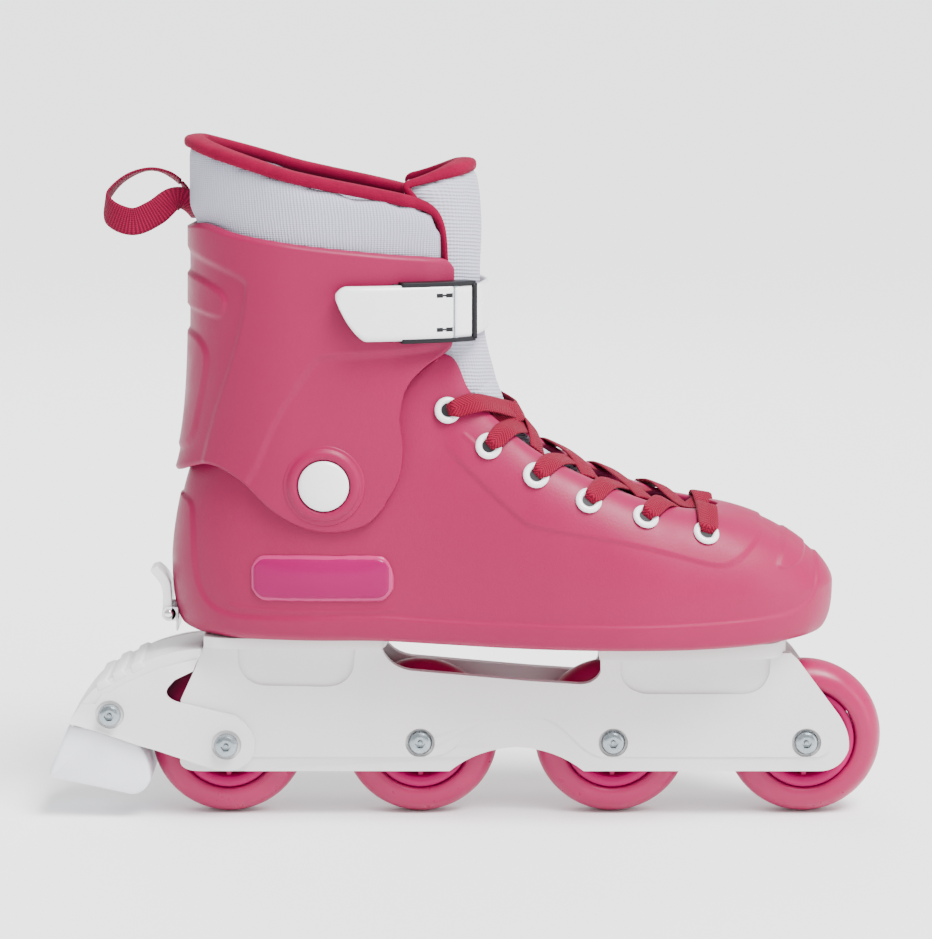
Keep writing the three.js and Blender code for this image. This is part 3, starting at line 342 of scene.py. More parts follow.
def cut(piece, tools):
    """Cuts pieces out of a piece, and removes them."""
    for tool in tools:
        knife = piece.modifiers.new("cut", "BOOLEAN")
        knife.operation = "DIFFERENCE"
        knife.solver = "EXACT"
        knife.object = tool
        apply(piece)
        bpy.data.objects.remove(tool)
    return piece


def curve_outline(points, arc=8):
    """Corner points, where a point of four numbers is a curve's control and end."""
    out = [np.array(points[0][:2], float)]
    for point in points[1:]:
        if len(point) == 2:
            out.append(np.array(point, float))
            continue
        a, c, b = out[-1], np.array(point[:2], float), np.array(point[2:], float)
        for t in np.linspace(0, 1, arc + 1)[1:]:
            out.append((1 - t) ** 2 * a + 2 * t * (1 - t) * c + t * t * b)
    return np.array(out)


# ---- finishes ---------------------------------------------------------------------------------
class Finish:
    """A material under construction: a Principled shader and a short way to add nodes."""

    def __init__(self, name, color, roughness, **sockets):
        self.material = bpy.data.materials.new(name)
        self.material.use_nodes = True
        self.material.diffuse_color = (*color, 1)
        self.nodes = self.material.node_tree.nodes
        self.links = self.material.node_tree.links
        self.shader = self.nodes["Principled BSDF"]
        self.shader.inputs["Base Color"].default_value = (*color, 1)
        self.shader.inputs["Roughness"].default_value = roughness
        for key, value in sockets.items():
            self.shader.inputs[key.replace("_", " ")].default_value = value
        self.place = self.node("ShaderNodeTexCoord").outputs["Object"]

    def node(self, kind, inputs=None, **settings):
        made = self.nodes.new(kind)
        for key, value in settings.items():
            setattr(made, key, value)
        for key, value in (inputs or {}).items():
            if isinstance(value, bpy.types.NodeSocket):
                self.links.new(value, made.inputs[key])
            else:
                made.inputs[key].default_value = value
        return made

    def math(self, operation, a, b=0.0, c=0.0):
        return self.node("ShaderNodeMath", {0: a, 1: b, 2: c}, operation=operation).outputs[0]

    def noise(self, scale, detail=3.0, roughness=0.55):
        return self.node("ShaderNodeTexNoise", {
            "Vector": self.place, "Scale": scale, "Detail": detail, "Roughness": roughness}).outputs["Fac"]

    def ramp(self, factor, low, high, *stops):
        """Colours a value: low and high are where the first and last of the stops lie."""
        made = self.node("ShaderNodeValToRGB", {"Fac": factor})
        ends = made.color_ramp.elements
        ends[0].position, ends[1].position = low, high
        ends[0].color, ends[1].color = (*stops[0], 1), (*stops[-1], 1)
        return made.outputs["Color"]

    def spread(self, factor, low, high, to_low, to_high):
        return self.node("ShaderNodeMapRange", {
            "Value": factor, "From Min": low, "From Max": high, "To Min": to_low, "To Max": to_high,
        }).outputs["Result"]

    def attribute(self, name):
        return self.node("ShaderNodeAttribute", attribute_name=name).outputs["Fac"]

    def color(self, socket):
        self.links.new(socket, self.shader.inputs["Base Color"])
        return self

    def roughness(self, socket):
        self.links.new(socket, self.shader.inputs["Roughness"])
        return self

    def bump(self, *layers):
        """Layers of height, each with how deep it is in millimetres."""
        last = None
        for height, depth in layers:
            settings = {"Height": height, "Strength": 1.0, "Distance": depth * MM}
            if last:
                settings["Normal"] = last
            last = self.node("ShaderNodeBump", settings).outputs["Normal"]
        self.links.new(last, self.shader.inputs["Normal"])
        return self

    def waves(self, coordinate, per_mm):
        """A smooth wave, 0 to 1, along a coordinate in metres."""
        turn = self.math("MULTIPLY", coordinate, per_mm * 2 * math.pi / MM)
        return self.math("MULTIPLY_ADD", self.math("SINE", turn), 0.5, 0.5)


def shade(color, amount):
    return tuple(c * amount for c in color)


def moulded(name, color, roughness, grain=0.02, coarse=900, **sockets):
    """Moulded plastic: a fine satin grain, faint flow clouds and handling marks in its gloss."""
    made = Finish(name, color, roughness, **sockets)
    cloud = made.noise(14, 2)
    fine = made.noise(coarse, 2, 0.6)
    made.color(made.ramp(cloud, 0.3, 0.7, shade(color, 0.93), shade(color, 1.05)))
    made.roughness(made.spread(made.noise(45, 4), 0.3, 0.7, roughness - 0.05, roughness + 0.07))
    return made.bump((fine, grain)).material


def metal(name, color, roughness, scratches=1.0):
    made = Finish(name, color, roughness, Metallic=1.0)
    made.color(made.ramp(made.noise(220, 4), 0.35, 0.7, shade(color, 0.8), color))
    made.roughness(made.spread(made.noise(600, 3), 0.3, 0.7, roughness * 0.75, roughness * 1.35))
    return made.bump((made.noise(1800, 2), 0.012 * scratches)).material


def knit(name, color, rib_mm, depth):
    """Padded mesh fabric: fine ribs along the piece, with short cross threads between them."""
    made = Finish(name, color, 0.82, Specular_IOR_Level=0.3, Sheen_Weight=0.1)
    wobble = made.math("MULTIPLY_ADD", made.noise(120, 2), 0.0009, made.attribute("rib"))
    ribs = made.waves(wobble, 1 / rib_mm)
    threads = made.waves(made.attribute("thread"), 1 / (rib_mm * 0.62))
    shadow = made.math("MULTIPLY", ribs, made.math("MULTIPLY_ADD", threads, 0.35, 0.65))
    made.color(made.ramp(shadow, 0.0, 0.75, shade(color, 0.84), shade(color, 1.04)))
    return made.bump((ribs, depth), (threads, depth * 0.45), (made.noise(700, 3), 0.05)).material


def fleece(name, color):
    """Short red pile of the binding."""
    made = Finish(name, color, 0.9, Specular_IOR_Level=0.1, Sheen_Weight=0.06)
    made.shader.inputs["Sheen Tint"].default_value = (1.0, 0.45, 0.5, 1)
    pile = made.noise(1500, 4, 0.7)
    # Colour: half faint random tone, half the pile's height, darker in the pile's hollows: painted shade.
    made.color(made.ramp(made.math("MULTIPLY_ADD", made.noise(90, 3), 0.5, made.math("MULTIPLY", pile, 0.5)),
                         0.3, 0.7, shade(color, 0.68), shade(color, 1.12)))
    return made.bump((pile, 0.22), (made.noise(260, 3), 0.2)).material


def webbing(name, color, rib_mm, twill):
    """Woven tape: ribs across it, or a herringbone of slanted threads that meet at its middle. Its colour
    darkens in the weave's grooves: painted shade.
    """
    made = Finish(name, color, 0.72, Specular_IOR_Level=0.12, Sheen_Weight=0.03)
    along, across = made.attribute("along"), made.attribute("across")
    slant = made.math("MULTIPLY", made.math("ABSOLUTE", across), twill)
    ribs = made.waves(made.math("ADD", along, slant), 1 / rib_mm)
    warp = made.waves(across, 1 / 0.9)
    # Colour dark in the grooves between ribs and threads and light on their crests: painted shade.
    weave_shade = made.math("MULTIPLY", ribs, made.math("MULTIPLY_ADD", warp, 0.4, 0.6))
    made.color(made.ramp(weave_shade, 0.0, 0.8, shade(color, 0.5), shade(color, 1.15)))
    return made.bump((ribs, 0.26), (warp, 0.12), (made.noise(1200, 3), 0.05)).material


PINK = (0.24, 0.004, 0.05)
WHITE = (0.80, 0.80, 0.83)


def shell_finish():
    """Pink satin polymer with a pebbled grain, and painted light that brightens it towards the toe."""
    made = Finish("shell_pink_polymer", PINK, 0.42, Specular_IOR_Level=0.22)
    place = made.node("ShaderNodeSeparateXYZ", {"Vector": made.place})
    # Colour lighter towards the toe and darker towards the heel: painted light falling from the toe's side,
    # with faint random tone on top.
    along = made.spread(place.outputs["X"], -0.16, 0.16, 0.0, 1.0)
    tone_and_toe_light = made.math("MULTIPLY_ADD", made.noise(10, 2), 0.3, made.math("MULTIPLY", along, 0.7))
    made.color(made.ramp(tone_and_toe_light, 0.1, 0.85, shade(PINK, 0.84), shade(PINK, 1.1)))
    made.roughness(made.spread(made.noise(60, 4), 0.3, 0.7, 0.36, 0.5))
    cells = made.node("ShaderNodeTexVoronoi", {"Vector": made.place, "Scale": 900.0}).outputs["Distance"]
    return made.bump((made.noise(1100, 2, 0.6), 0.035), (cells, 0.03)).material


SHELL = shell_finish()
GLOSS_WHITE = moulded("white_gloss_plastic", WHITE, 0.26, 0.004, Coat_Weight=0.4, Coat_Roughness=0.1)
SATIN_WHITE = moulded("frame_white_plastic", (0.66, 0.64, 0.64), 0.45, 0.012, Specular_IOR_Level=0.35)
BLACK = moulded("black_plastic", (0.008, 0.008, 0.01), 0.45, Specular_IOR_Level=0.2)
HUB_PINK = moulded("hub_pink_plastic", (0.36, 0.0, 0.085), 0.35, Specular_IOR_Level=0.2)
BADGE = moulded("badge_domed_gloss", (0.24, 0.0, 0.07), 0.16, 0.002, Specular_IOR_Level=0.16)
BADGE_RIM = moulded("badge_rim_gloss", (0.36, 0.02, 0.11), 0.16, 0.002, Specular_IOR_Level=0.3)
STEEL = metal("zinc_plated_steel", (0.33, 0.38, 0.41), 0.24)
DARK_STEEL = metal("bearing_steel", (0.16, 0.15, 0.14), 0.35)
CHROME = metal("polished_chrome", (0.86, 0.86, 0.88), 0.08, 0.2)
LINER = knit("liner_ribbed_mesh", (0.40, 0.40, 0.49), 1.5, 0.24)
TONGUE = knit("tongue_ribbed_mesh", (0.44, 0.44, 0.53), 1.6, 0.26)
BINDING = fleece("red_fleece_binding", (0.19, 0.0, 0.026))
# The binding's red fleece, darkened for the padding deep inside the boot: painted shade.
LINING_IN_SHADE = fleece("red_lining", (0.13, 0.0, 0.018))
LACE = webbing("lace_red_herringbone", (0.21, 0.0, 0.022), 1.5, 0.9)
TAPE = webbing("red_ribbed_webbing", (0.19, 0.0, 0.026), 1.3, 0.0)
FOAM = moulded("black_insole_foam", (0.03, 0.03, 0.035), 0.9, 0.3, 400)
RUBBER = moulded("white_brake_rubber", (0.70, 0.71, 0.77), 0.55, 0.05, 500)


def tyre_finish():
    """Cast urethane: smooth, a little clear at its skin, with fine dust."""
    made = Finish("tyre_pink_urethane", (0.29, 0.005, 0.062), 0.34, Subsurface_Weight=0.15,
                  Subsurface_Scale=0.004, Specular_IOR_Level=0.3)
    made.color(made.ramp(made.noise(30, 3), 0.3, 0.7, (0.275, 0.0045, 0.058), (0.305, 0.006, 0.068)))
    made.roughness(made.spread(made.noise(160, 4), 0.3, 0.7, 0.26, 0.44))
    return made.bump((made.noise(700, 3), 0.012)).material


TYRE = tyre_finish()


# ---- boot surface -----------------------------------------------------------------------------
# Half rings from the toe to the heel: sole edge, widest line, edge of the opening. Each point is
# x as a share of the boot's length, half width as a share of the ball's, and height over the sole.
SOLE_RING = [
    (0.965, 0, 2.0), (0.955, 0.27, 1.6), (0.921, 0.53, 1.0), (0.865, 0.74, 0.4), (0.791, 0.86, 0),
    (0.702, 0.9, 0), (0.603, 0.86, 0), (0.505, 0.79, 0.4), (0.406, 0.74, 1.7), (0.32, 0.72, 3),
    (0.21, 0.7, 3), (0.119, 0.59, 3), (0.06, 0.34, 3), (0.037, 0, 3)]
WIDE_RING = [
    (1, 0, 25), (0.989, 0.33, 24.5), (0.953, 0.62, 24), (0.891, 0.83, 23), (0.805, 0.95, 22),
    (0.706, 1, 21.5), (0.603, 0.95, 22), (0.505, 0.88, 24), (0.396, 0.83, 26), (0.29, 0.825, 29),
    (0.191, 0.82, 32), (0.092, 0.7, 34), (0.026, 0.41, 36), (0, 0, 36)]
EDGE_RING = [
    (0.828, 0, 59.5), (0.818, 0.18, 59.5), (0.798, 0.32, 59.5), (0.768, 0.4, 60.5), (0.712, 0.43, 64.3),
    (0.64, 0.44, 73), (0.554, 0.46, 86), (0.488, 0.49, 102), (0.448, 0.53, 116), (0.412, 0.56, 133),
    (0.303, 0.69, 122), (0.16, 0.68, 104), (0.088, 0.38, 95), (0.052, 0, 92.5)]
ROUNDNESS = [1.5, 1.5, 1.6, 1.7, 1.8, 1.9, 2, 2, 2, 2, 2, 1.8, 1.6, 1.5]
LOW_SHARE = 0.3


def boot_x(share):
    """Place along the boot, from 0 at the heel to 1 at the toe."""
    return lerp(HEEL_X, TOE_X, share)


def whole_ring(half):
    near = np.array([(boot_x(s), -w * HALF_WIDTH, z) for s, w, z in half])
    far = near[1:-1][::-1] * [1, -1, 1]
    return np.vstack([near, far])


RINGS = [whole_ring(half) for half in (SOLE_RING, WIDE_RING, EDGE_RING)]


def boot_point(u, v):
    """Points of the boot's plain outer face: u runs round from the toe past the outer side, v up."""
    u, v = np.broadcast_arrays(np.asarray(u, float) % 1, np.asarray(v, float))
    sole, wide, edge = (spline(ring, u, closed=True) for ring in RINGS)
    power = np.interp(np.where(u <= 0.5, u, 1 - u) * 2 * (len(ROUNDNESS) - 1),
                      np.arange(len(ROUNDNESS)), ROUNDNESS)
    low = np.clip(v / LOW_SHARE, 0, 1) * np.pi / 2
    high = np.clip((v - LOW_SHARE) / (1 - LOW_SHARE), 0, 1) * np.pi / 2
    below = v < LOW_SHARE
    across = np.where(below, np.sin(low) ** 0.75, 1 - np.clip(np.cos(high), 0, 1) ** (2 / power))
    level = np.where(below, 1 - np.clip(np.cos(low), 0, 1) ** 0.75, np.sin(high) ** (2 / power))
    start = np.where(below[..., None], sole, wide)
    end = np.where(below[..., None], wide, edge)
    point = start + (end - start) * across[..., None]
    point[..., 2] = lerp(start[..., 2], end[..., 2], level)
    point[..., 1] += MEDIAL_SHIFT * smooth(point[..., 0], 0.1 * TOE_X, TOE_X)
    return point


def boot_normal(u, v):
    """The way the boot's plain face looks."""
    d = 0.004
    u, v = np.broadcast_arrays(np.asarray(u, float), np.asarray(v, float))
    along = boot_point(u + d, v) - boot_point(u - d, v)
    up = boot_point(u, np.clip(v + d, 0.03, 0.995)) - boot_point(u, np.clip(v - d, 0.02, 0.985))
    return -unit(np.cross(along, up))


def boot_inside(u, v, depth):
    """Points under the boot's plain face, at a depth."""
    return boot_point(u, v) - boot_normal(u, v) * depth


SEARCH_U, SEARCH_V = np.meshgrid(np.linspace(0.005, 0.495, 500), np.linspace(0.08, 0.99, 300), indexing="ij")
SEARCH = {side: boot_point(SEARCH_U if side < 0 else 1 - SEARCH_U, SEARCH_V) for side in (-1, 1)}


def boot_side(x, z, side):
    """Where the boot's side shows a point of the side view: its u and v."""
    points = SEARCH[side]
    k = np.argmin((points[..., 0] - x) ** 2 + (points[..., 2] - z) ** 2)
    u, v = SEARCH_U.flat[k], SEARCH_V.flat[k]
    return (u if side < 0 else 1 - u), v


# Lines of the moulded shell in the side view, as x and height over the sole.
EYESTAY = [(-33, 92), (-24, 83), (-11, 70.5), (1.4, 59.5), (5, 57), (20, 54), (35.6, 51.5), (56, 47.5),
           (74, 42.5), (86, 39), (93, 38), (99, 40), (104.5, 44), (109.5, 49), (112, 53), (114.5, 59)]
WELT = [(-152, 65.5), (-147.5, 64), (-147, 51.5), (-146.6, 39.5), (-145, 27.5), (-140, 18.5), (-130, 14.5),
        (-116, 14), (-60, 15.5), (-44, 13.5), (18, 11.5), (86, 12.5), (104, 13.5), (122.5, 15), (130, 18),
        (134, 22), (136, 27), (137, 33), (137.4, 38), (136.5, 44), (134, 50)]
TOE_PAD = [(119.3, 35.3), (124.3, 35), (129, 37), (132.5, 41), (137, 49), (128, 54), (123.5, 50), (119.6, 41),
           (117.7, 37)]
DASH = [(-23.8, 96.9), (-17.7, 91.3)]
HEEL_GROOVE = [(-130, 19), (-116, 17.5), (-66, 17.3), (-57, 18.5)]


def shell_relief(point, v):
    """How far the moulded shell stands out from its plain face."""
    x, z = point[..., 0], point[..., 2]
    shown = smooth(v, 0.03, 0.1)
    lift = step(x, z, EYESTAY, 0.9, 1.8) * smooth(x, -36, -24)
    lift = lift + step(x, z, WELT[::-1], 1.0, 1.6) * smooth(v, 0.04, 0.12)
    lift = lift + pad(x, z, TOE_PAD, 0.8, 1.5) + ridge(x, z, DASH, 0.5, 1.3)
    lift = lift + ridge(x, z, HEEL_GROOVE, 0.4, 1.2) * (x < -50)
    return lift * shown


def shell():
    """The hard boot: outer face with its relief, rolled edge, inner face and closed sole."""
    around, rows = ((560, 126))
    u = np.linspace(0, 1, around, endpoint=False)
    fine = np.linspace(0, 1, 600)
    sample = boot_point(np.linspace(0, 1, 24, endpoint=False)[:, None], fine)
    run = np.concatenate([[0], np.cumsum(np.linalg.norm(np.diff(sample, axis=1), axis=2).mean(0))])
    levels = np.interp(np.linspace(0, run[-1], rows), run, fine)
    v = np.minimum(levels, 0.992)
    outer = boot_point(u, v[:, None])
    normal = boot_normal(u, v[:, None])
    outer = outer + normal * shell_relief(outer, v[:, None])[..., None]
    top, out = outer[-1], normal[-1]
    up = unit(top - outer[-3])
    turn = np.linspace(0, np.pi, 7)[1:-1, None, None]
    half = WALL / 2
    rim = top - out * half * (1 - np.cos(turn)) + up * half * 0.5 * np.sin(turn)
    floor = 9.0
    inner = boot_inside(u, np.linspace(0.985, 0.14, 14)[:, None], WALL)
    inner[..., 2] = np.maximum(inner[..., 2], floor)
    inner[-1, :, 2] = floor
    rows_all = np.concatenate([outer, rim, inner])
    faces = bowl_faces(len(rows_all), around)
    return outward(make("hard_shell", rows_all, faces, SHELL, "boot", "shell_pink", SOLE_Z))


# ---- leg outline, cuff and padding ------------------------------------------------------------
LEG_X = -100             # middle of the oval that the leg makes in plan


def leg_axes(z):
    """The leg's oval at a height: its reach to the rear, to the front and to each side."""
    rear = HEEL_X + 9.6 - 8.6 * np.exp((77 - z) / 26)
    front = lerp(200, 100, smooth(z, 95, 138))
    return LEG_X - rear, front, CUFF_HALF + 0.012 * (z - PIVOT_Z)


def leg_point(alpha, z, depth=0.0):
    """Points round the leg in plan, outer side at negative alpha, moved inwards by a depth."""
    alpha, z, depth = np.broadcast_arrays(alpha, np.asarray(z, float), depth)
    rear, front, half = leg_axes(z)
    c, s = np.cos(alpha), np.sin(alpha)
    axis = np.where(c > 0, rear, front)
    nx, ny = -c * half, s * axis
    size = np.hypot(nx, ny)
    return np.stack([LEG_X - axis * c - nx / size * depth, s * half - ny / size * depth, z], axis=-1)


def leg_alpha(x, z):
    """Plan angle round the leg, from the heel, of a point of the side view."""
    rear, front, _ = leg_axes(z)
    away = LEG_X - x
    return np.arccos(np.clip(away / np.where(away > 0, rear, front), -1, 1))


CUFF_LOW = [(-157, 77), (-141, 83), (-126, 77.5), (-110, 63.5), (-96, 56), (-82, 54), (-68, 57.5),
            (-59, 66.5)]
CUFF_FRONT = [(-59, 66.5), (-53, 78), (-51.5, 92), (-53.5, 106), (-50, 119), (-42, 128), (-33, 134),
              (-28.5, 139.5), (-28, 156), (-28, 172)]
CUFF_TOP = [(-148.5, CUFF_RIM), (-140, 191.5), (-126, 188), (-108, 185), (-90, 182.5), (-72, 180.5),
            (-56, 178.8), (-46, 178), (-40, 177.4), (-36, 177), (-33, 176.4), (-30.5, 175), (-28, 172)]
COLLAR_LOW = [(-146, 103), (-112, 106), (-80, 125), (-56, 141), (-36, 152)]
COLLAR_TOP = [(-146.5, 229), (-138, 226), (-123.7, 221.5), (-106, 216.5), (-88.4, 212.5), (-66, 208),
              (-48, 204), (-40, 201.5), (-35, 197.5), (-32, 190), (-31, 178)]
COLLAR_OUT = CUFF_WALL + 0.6
COLLAR_THICK = 7.0


def leg_edge(line, across):
    """Plan angle and height along an edge line, evenly spaced, from the heel to the front."""
    path = spline(line, np.linspace(0, 1, 400))
    alpha = leg_alpha(path[:, 0], path[:, 1])
    alpha[0] = 0
    points = leg_point(alpha, path[:, 1])
    run = run_along(points)
    at = np.linspace(0, run[-1], across + 1)
    return np.interp(at, run, alpha), np.interp(at, run, path[:, 1])


def both_sides(half, sign=1):
    """Columns from the outer front edge, round the heel, to the inner front edge."""
    return np.concatenate([half[:0:-1] * sign, half])


def leg_wall(lower, upper, outside, inside, across, rows, relief, inner_rows=12, front=None):
    """A wall round the leg with rolled edges: a loop of points for each column."""
    low_a, low_z = leg_edge(lower, across)
    top_a, top_z = leg_edge(upper, across)
    low_a, top_a = both_sides(low_a, -1), both_sides(top_a, -1)
    low_z, top_z = both_sides(low_z), both_sides(top_z)
    half = (inside - outside) / 2
    columns = len(low_a)
    ends = np.minimum(np.arange(columns), np.arange(columns)[::-1])
    tuck = half * (1 - np.sqrt(np.clip(1 - (1 - np.minimum(ends, 3) / 3) ** 2, 0, 1)))

    if front:
        path = even(spline(front, np.linspace(0, 1, 400)), 200)
        front_a, front_z = leg_alpha(path[:, 0], path[:, 1]), path[:, 1]
        near_front = both_sides(np.linspace(0, 1, across + 1))[:, None] ** 5

    def face(shares, depth):
        alpha = lerp(low_a[:, None], top_a[:, None], shares)
        z = lerp((low_z + half)[:, None], (top_z - half)[:, None], shares)
        if front:
            bend = np.interp(shares, np.linspace(0, 1, 200), front_a) - lerp(low_a[-1], top_a[-1], shares)
            rise = np.interp(shares, np.linspace(0, 1, 200), front_z) - lerp(low_z[-1], top_z[-1], shares)
            alpha = alpha + near_front * both_sides(np.ones(across + 1), -1)[:, None] * bend
            z = z + near_front * rise
        return leg_point(alpha, z, depth)

    near = face(np.linspace(0, 1, rows + 1), outside + tuck[:, None])
    if relief:
        out = near - face(np.linspace(0, 1, rows + 1), outside + tuck[:, None] + 1)
        near = near + unit(out) * relief(near)[..., None]
    far = face(np.linspace(1, 0, inner_rows + 1), inside - tuck[:, None])
    turn = np.linspace(0, np.pi, 8)[1:-1]
    middle_depth = (outside + inside) / 2
    radius = (half - tuck)[:, None]
    top = leg_point(top_a[:, None], (top_z - half)[:, None] + radius * np.sin(turn),
                    middle_depth - radius * np.cos(turn))
    low = leg_point(low_a[:, None], (low_z + half)[:, None] - radius * np.sin(turn),
                    middle_depth + radius * np.cos(turn))
    loops = np.concatenate([near, top, far, low], axis=1)
    return loops, tube_faces(columns, loops.shape[1])


PANEL = [(-122, 74), (-120.7, 77.5), (-117, 83), (-108, 106.2), (-91, 131.5), (-87, 133.6), (-70, 134.2),
         (-45, 135.5), (-24, 139)]
REAR_STEP = [(-156, 181), (-145.7, 177.5), (-124, 169), (-120.8, 166.4), (-121, 163), (-123, 149),
             (-128, 130.1), (-136, 107.5), (-142.5, 82)]
REAR_TAB = [(-160, 169.5), (-146, 168.3), (-133, 162.6), (-129.8, 158.5), (-130.4, 154), (-132.5, 149.5),
            (-146, 152.8), (-160, 154)]
REAR_RIB = [(-160, 142.5), (-147, 142), (-140.6, 137.5), (-138.7, 129.5), (-142.7, 110.5), (-147, 91),
            (-160, 85)]


def cuff_relief(point):
    """How far the moulded cuff stands out from its plain face."""
    x, z = point[..., 0], point[..., 2]
    lift = step(x, z, PANEL, 1.5, 3.2) + step(x, z, REAR_STEP, 1.2, 3.4) - 1.2
    lift = lift + pad(x, z, REAR_TAB, 1.3, 1.6) + pad(x, z, REAR_RIB, 1.2, 2.4)
    edge = smooth(np.abs(point[..., 1]), 33, 37)
    return lift * np.where(x > -60, edge, 1)


def ankle_face():
    """How far out the cuff's face is at the ankle pivot."""
    return abs(leg_point(leg_alpha(PIVOT_X, PIVOT_Z), PIVOT_Z)[1])


def cuff():
    """The hinged cuff, with its moulded panels and the raised ring round each ankle pivot."""
    across, rows = ((230, 104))
    loops, faces = leg_wall(CUFF_LOW, CUFF_TOP, 0.0, CUFF_WALL, across, rows, cuff_relief, front=CUFF_FRONT)
    body = outward(make("cuff_wall", loops, faces, SHELL, "cuff", "shell_pink", SOLE_Z))
    rings = []
    level = ankle_face()
    for side, word in ((-1, "outer"), (1, "inner")):
        profile = [(BOSS_R + 3.4, -1.2), (BOSS_R + 2.6, 0.15), (BOSS_R + 1.2, 0.5), (BOSS_R + 0.3, 1.3),
                   (BOSS_R - 0.8, 1.85), (BOSS_R - 2.2, 1.95), (BOSS_R - 3.3, 1.5), (BOSS_R - 3.8, 0.7),
                   (BOSS_R - 3.9, -1.2)]
        curve = spline([(r, side * (level + y)) for r, y in profile], np.linspace(0, 1, 33))
        rings.append(turned(f"boss_{word}", curve, PIVOT_X, PIVOT_Z, SHELL, "cuff", "shell_pink", 96, SOLE_Z))
    return joined("cuff_wall", [body, *rings])


def ankle_cap(side, word):
    """The domed white cap over an ankle pivot."""
    y0 = ankle_face() + 0.7
    profile = [(0.0, y0), (CAP_R, y0), (CAP_R + 0.05, y0 + 0.9), (CAP_R - 0.35, y0 + 1.6),
               (CAP_R - 1.4, y0 + 2.0), (CAP_R * 0.7, y0 + 2.55), (CAP_R * 0.4, y0 + 2.95), (0.0, y0 + 3.1)]
    profile = [(r, side * y) for r, y in profile]
    return turned(f"ankle_cap_{word}_dome", profile, PIVOT_X, PIVOT_Z, GLOSS_WHITE, "cuff", "white_plastic",
                  96, SOLE_Z)


def around_leg(x, y):
    """Distance of points round the leg, as it is at the collar, for ribs that run up it."""
    level = 200.0
    alpha = np.linspace(-np.pi, np.pi, 721)
    ring = leg_point(alpha, np.full(721, level))
    run = run_along(ring)
    rear, front, half = leg_axes(level)
    away = LEG_X - x
    angle = np.arctan2(y / half, away / np.where(away > 0, rear, front))
    return np.interp(angle, alpha, run)


CLOTH_FRAMES = 20


def vertices(mesh):
    flat = np.empty(len(mesh.vertices) * 3, np.float32)
    mesh.vertices.foreach_get("co", flat)
    return flat.reshape(-1, 3).astype(float)


def note(piece, name, values):
    """Writes a number for each vertex, in metres, that a material reads as a coordinate."""
    layer = piece.data.attributes.get(name) or piece.data.attributes.new(name, "FLOAT", "POINT")
    layer.data.foreach_set("value", np.asarray(values, np.float32).ravel())


def stuff(piece, voxel, pressure, reach, fixed=None):
    """Fills a padded piece by cloth simulation: no point moves further than reach, in millimetres.

    fixed gives, for each point, the share of its movement that is kept.
    """
    grid = piece.modifiers.new("even", "REMESH")
    grid.mode = "VOXEL"
    grid.voxel_size = voxel * MM
    apply(piece)
    before = vertices(piece.data)
    moved = before
    cloth = piece.modifiers.new("cloth", "CLOTH")
    cloth.settings.use_pressure = True
    cloth.settings.uniform_pressure_force = pressure
    cloth.settings.quality = 5
    cloth.settings.mass = 0.3
    cloth.settings.tension_stiffness = 15
    cloth.settings.compression_stiffness = 15
    cloth.settings.bending_stiffness = 2
    cloth.settings.effector_weights.gravity = 0
    cloth.collision_settings.use_collision = False
    cloth.point_cache.frame_start, cloth.point_cache.frame_end = 1, CLOTH_FRAMES
    for number in range(1, CLOTH_FRAMES + 1):
        bpy.context.scene.frame_set(number)
    graph = bpy.context.evaluated_depsgraph_get()
    result = bpy.data.meshes.new_from_object(piece.evaluated_get(graph))
    moved = vertices(result)
    bpy.data.meshes.remove(result)
    piece.modifiers.clear()
    bpy.context.scene.frame_set(1)
    shift = moved - before
    size = np.linalg.norm(shift, axis=1, keepdims=True)
    shift *= np.minimum(1, reach * MM / np.maximum(size, 1e-9))
    if fixed is not None:
        shift *= fixed(before / MM)[:, None]
    piece.data.vertices.foreach_set("co", (before + shift).astype(np.float32).ravel())
    finer = piece.modifiers.new("finer", "SUBSURF")
    finer.levels = finer.render_levels = 1
    apply(piece)
    piece.data.polygons.foreach_set("use_smooth", [True] * len(piece.data.polygons))
    return piece


def heel_bulge(piece):
    """The padding stands out over the cuff's rim at the heel."""
    place = vertices(piece.data)
    x, z = place[:, 0] / MM - CENTRE_X, place[:, 2] / MM - SOLE_Z
    place[:, 0] -= 4.4 * MM * smooth(z, 186, 200) * smooth(-x, 112, 146)
    piece.data.vertices.foreach_set("co", place.astype(np.float32).ravel())
    return piece


def collar():
    """The padded collar of the liner, swollen above the cuff's rim."""
    lower = [(x, z + 1) for x, z in COLLAR_LOW]
    upper = [(x - 0.5, z - 2.0) for x, z in COLLAR_TOP]
    loops, faces = leg_wall(lower, upper, COLLAR_OUT + 0.4, COLLAR_OUT + COLLAR_THICK - 0.4, 70, 40, None, 40)
    piece = outward(make("liner_collar_pad", loops, faces, LINER, "cuff", "liner_fabric", SOLE_Z))

    def free(place):
        return smooth(place[:, 2] - SOLE_Z, 172, 196) * 0.85 + 0.1

    stuff(piece, 4.0, 4.0, 2.6, free)
    heel_bulge(piece)
    place = vertices(piece.data) / MM - [CENTRE_X, 0, SOLE_Z]
    slant = 0.10 * (place[:, 2] - 200)
    note(piece, "rib", around_leg(place[:, 0] + slant, place[:, 1]) * MM)
    note(piece, "thread", place[:, 2] * MM)
    return piece


def piping(name, centre, normal, wide, tall, finish, body, slot):
    """A soft roll along a path. normal is the way its width lies, at each point of the path."""
    centre = np.asarray(centre, float)
    along = unit(np.gradient(centre, axis=0))
    normal = unit(normal - along * np.sum(normal * along, axis=1, keepdims=True))
    other = np.cross(along, normal)
    sides = 20
    turn = np.linspace(0, 2 * np.pi, sides, endpoint=False)
    c, s = np.cos(turn), np.sin(turn)
    square = 0.72            # 1 is round, and less is squarer
    c, s = np.sign(c) * np.abs(c) ** square, np.sign(s) * np.abs(s) ** square
    wide, tall = (np.broadcast_to(q, len(centre))[:, None, None] for q in (wide, tall))
    rings = centre[:, None] + normal[:, None] * wide * c[:, None] + other[:, None] * tall * s[:, None]
    return outward(make(name, rings, tube_faces(len(centre), sides), finish, body, slot, SOLE_Z))


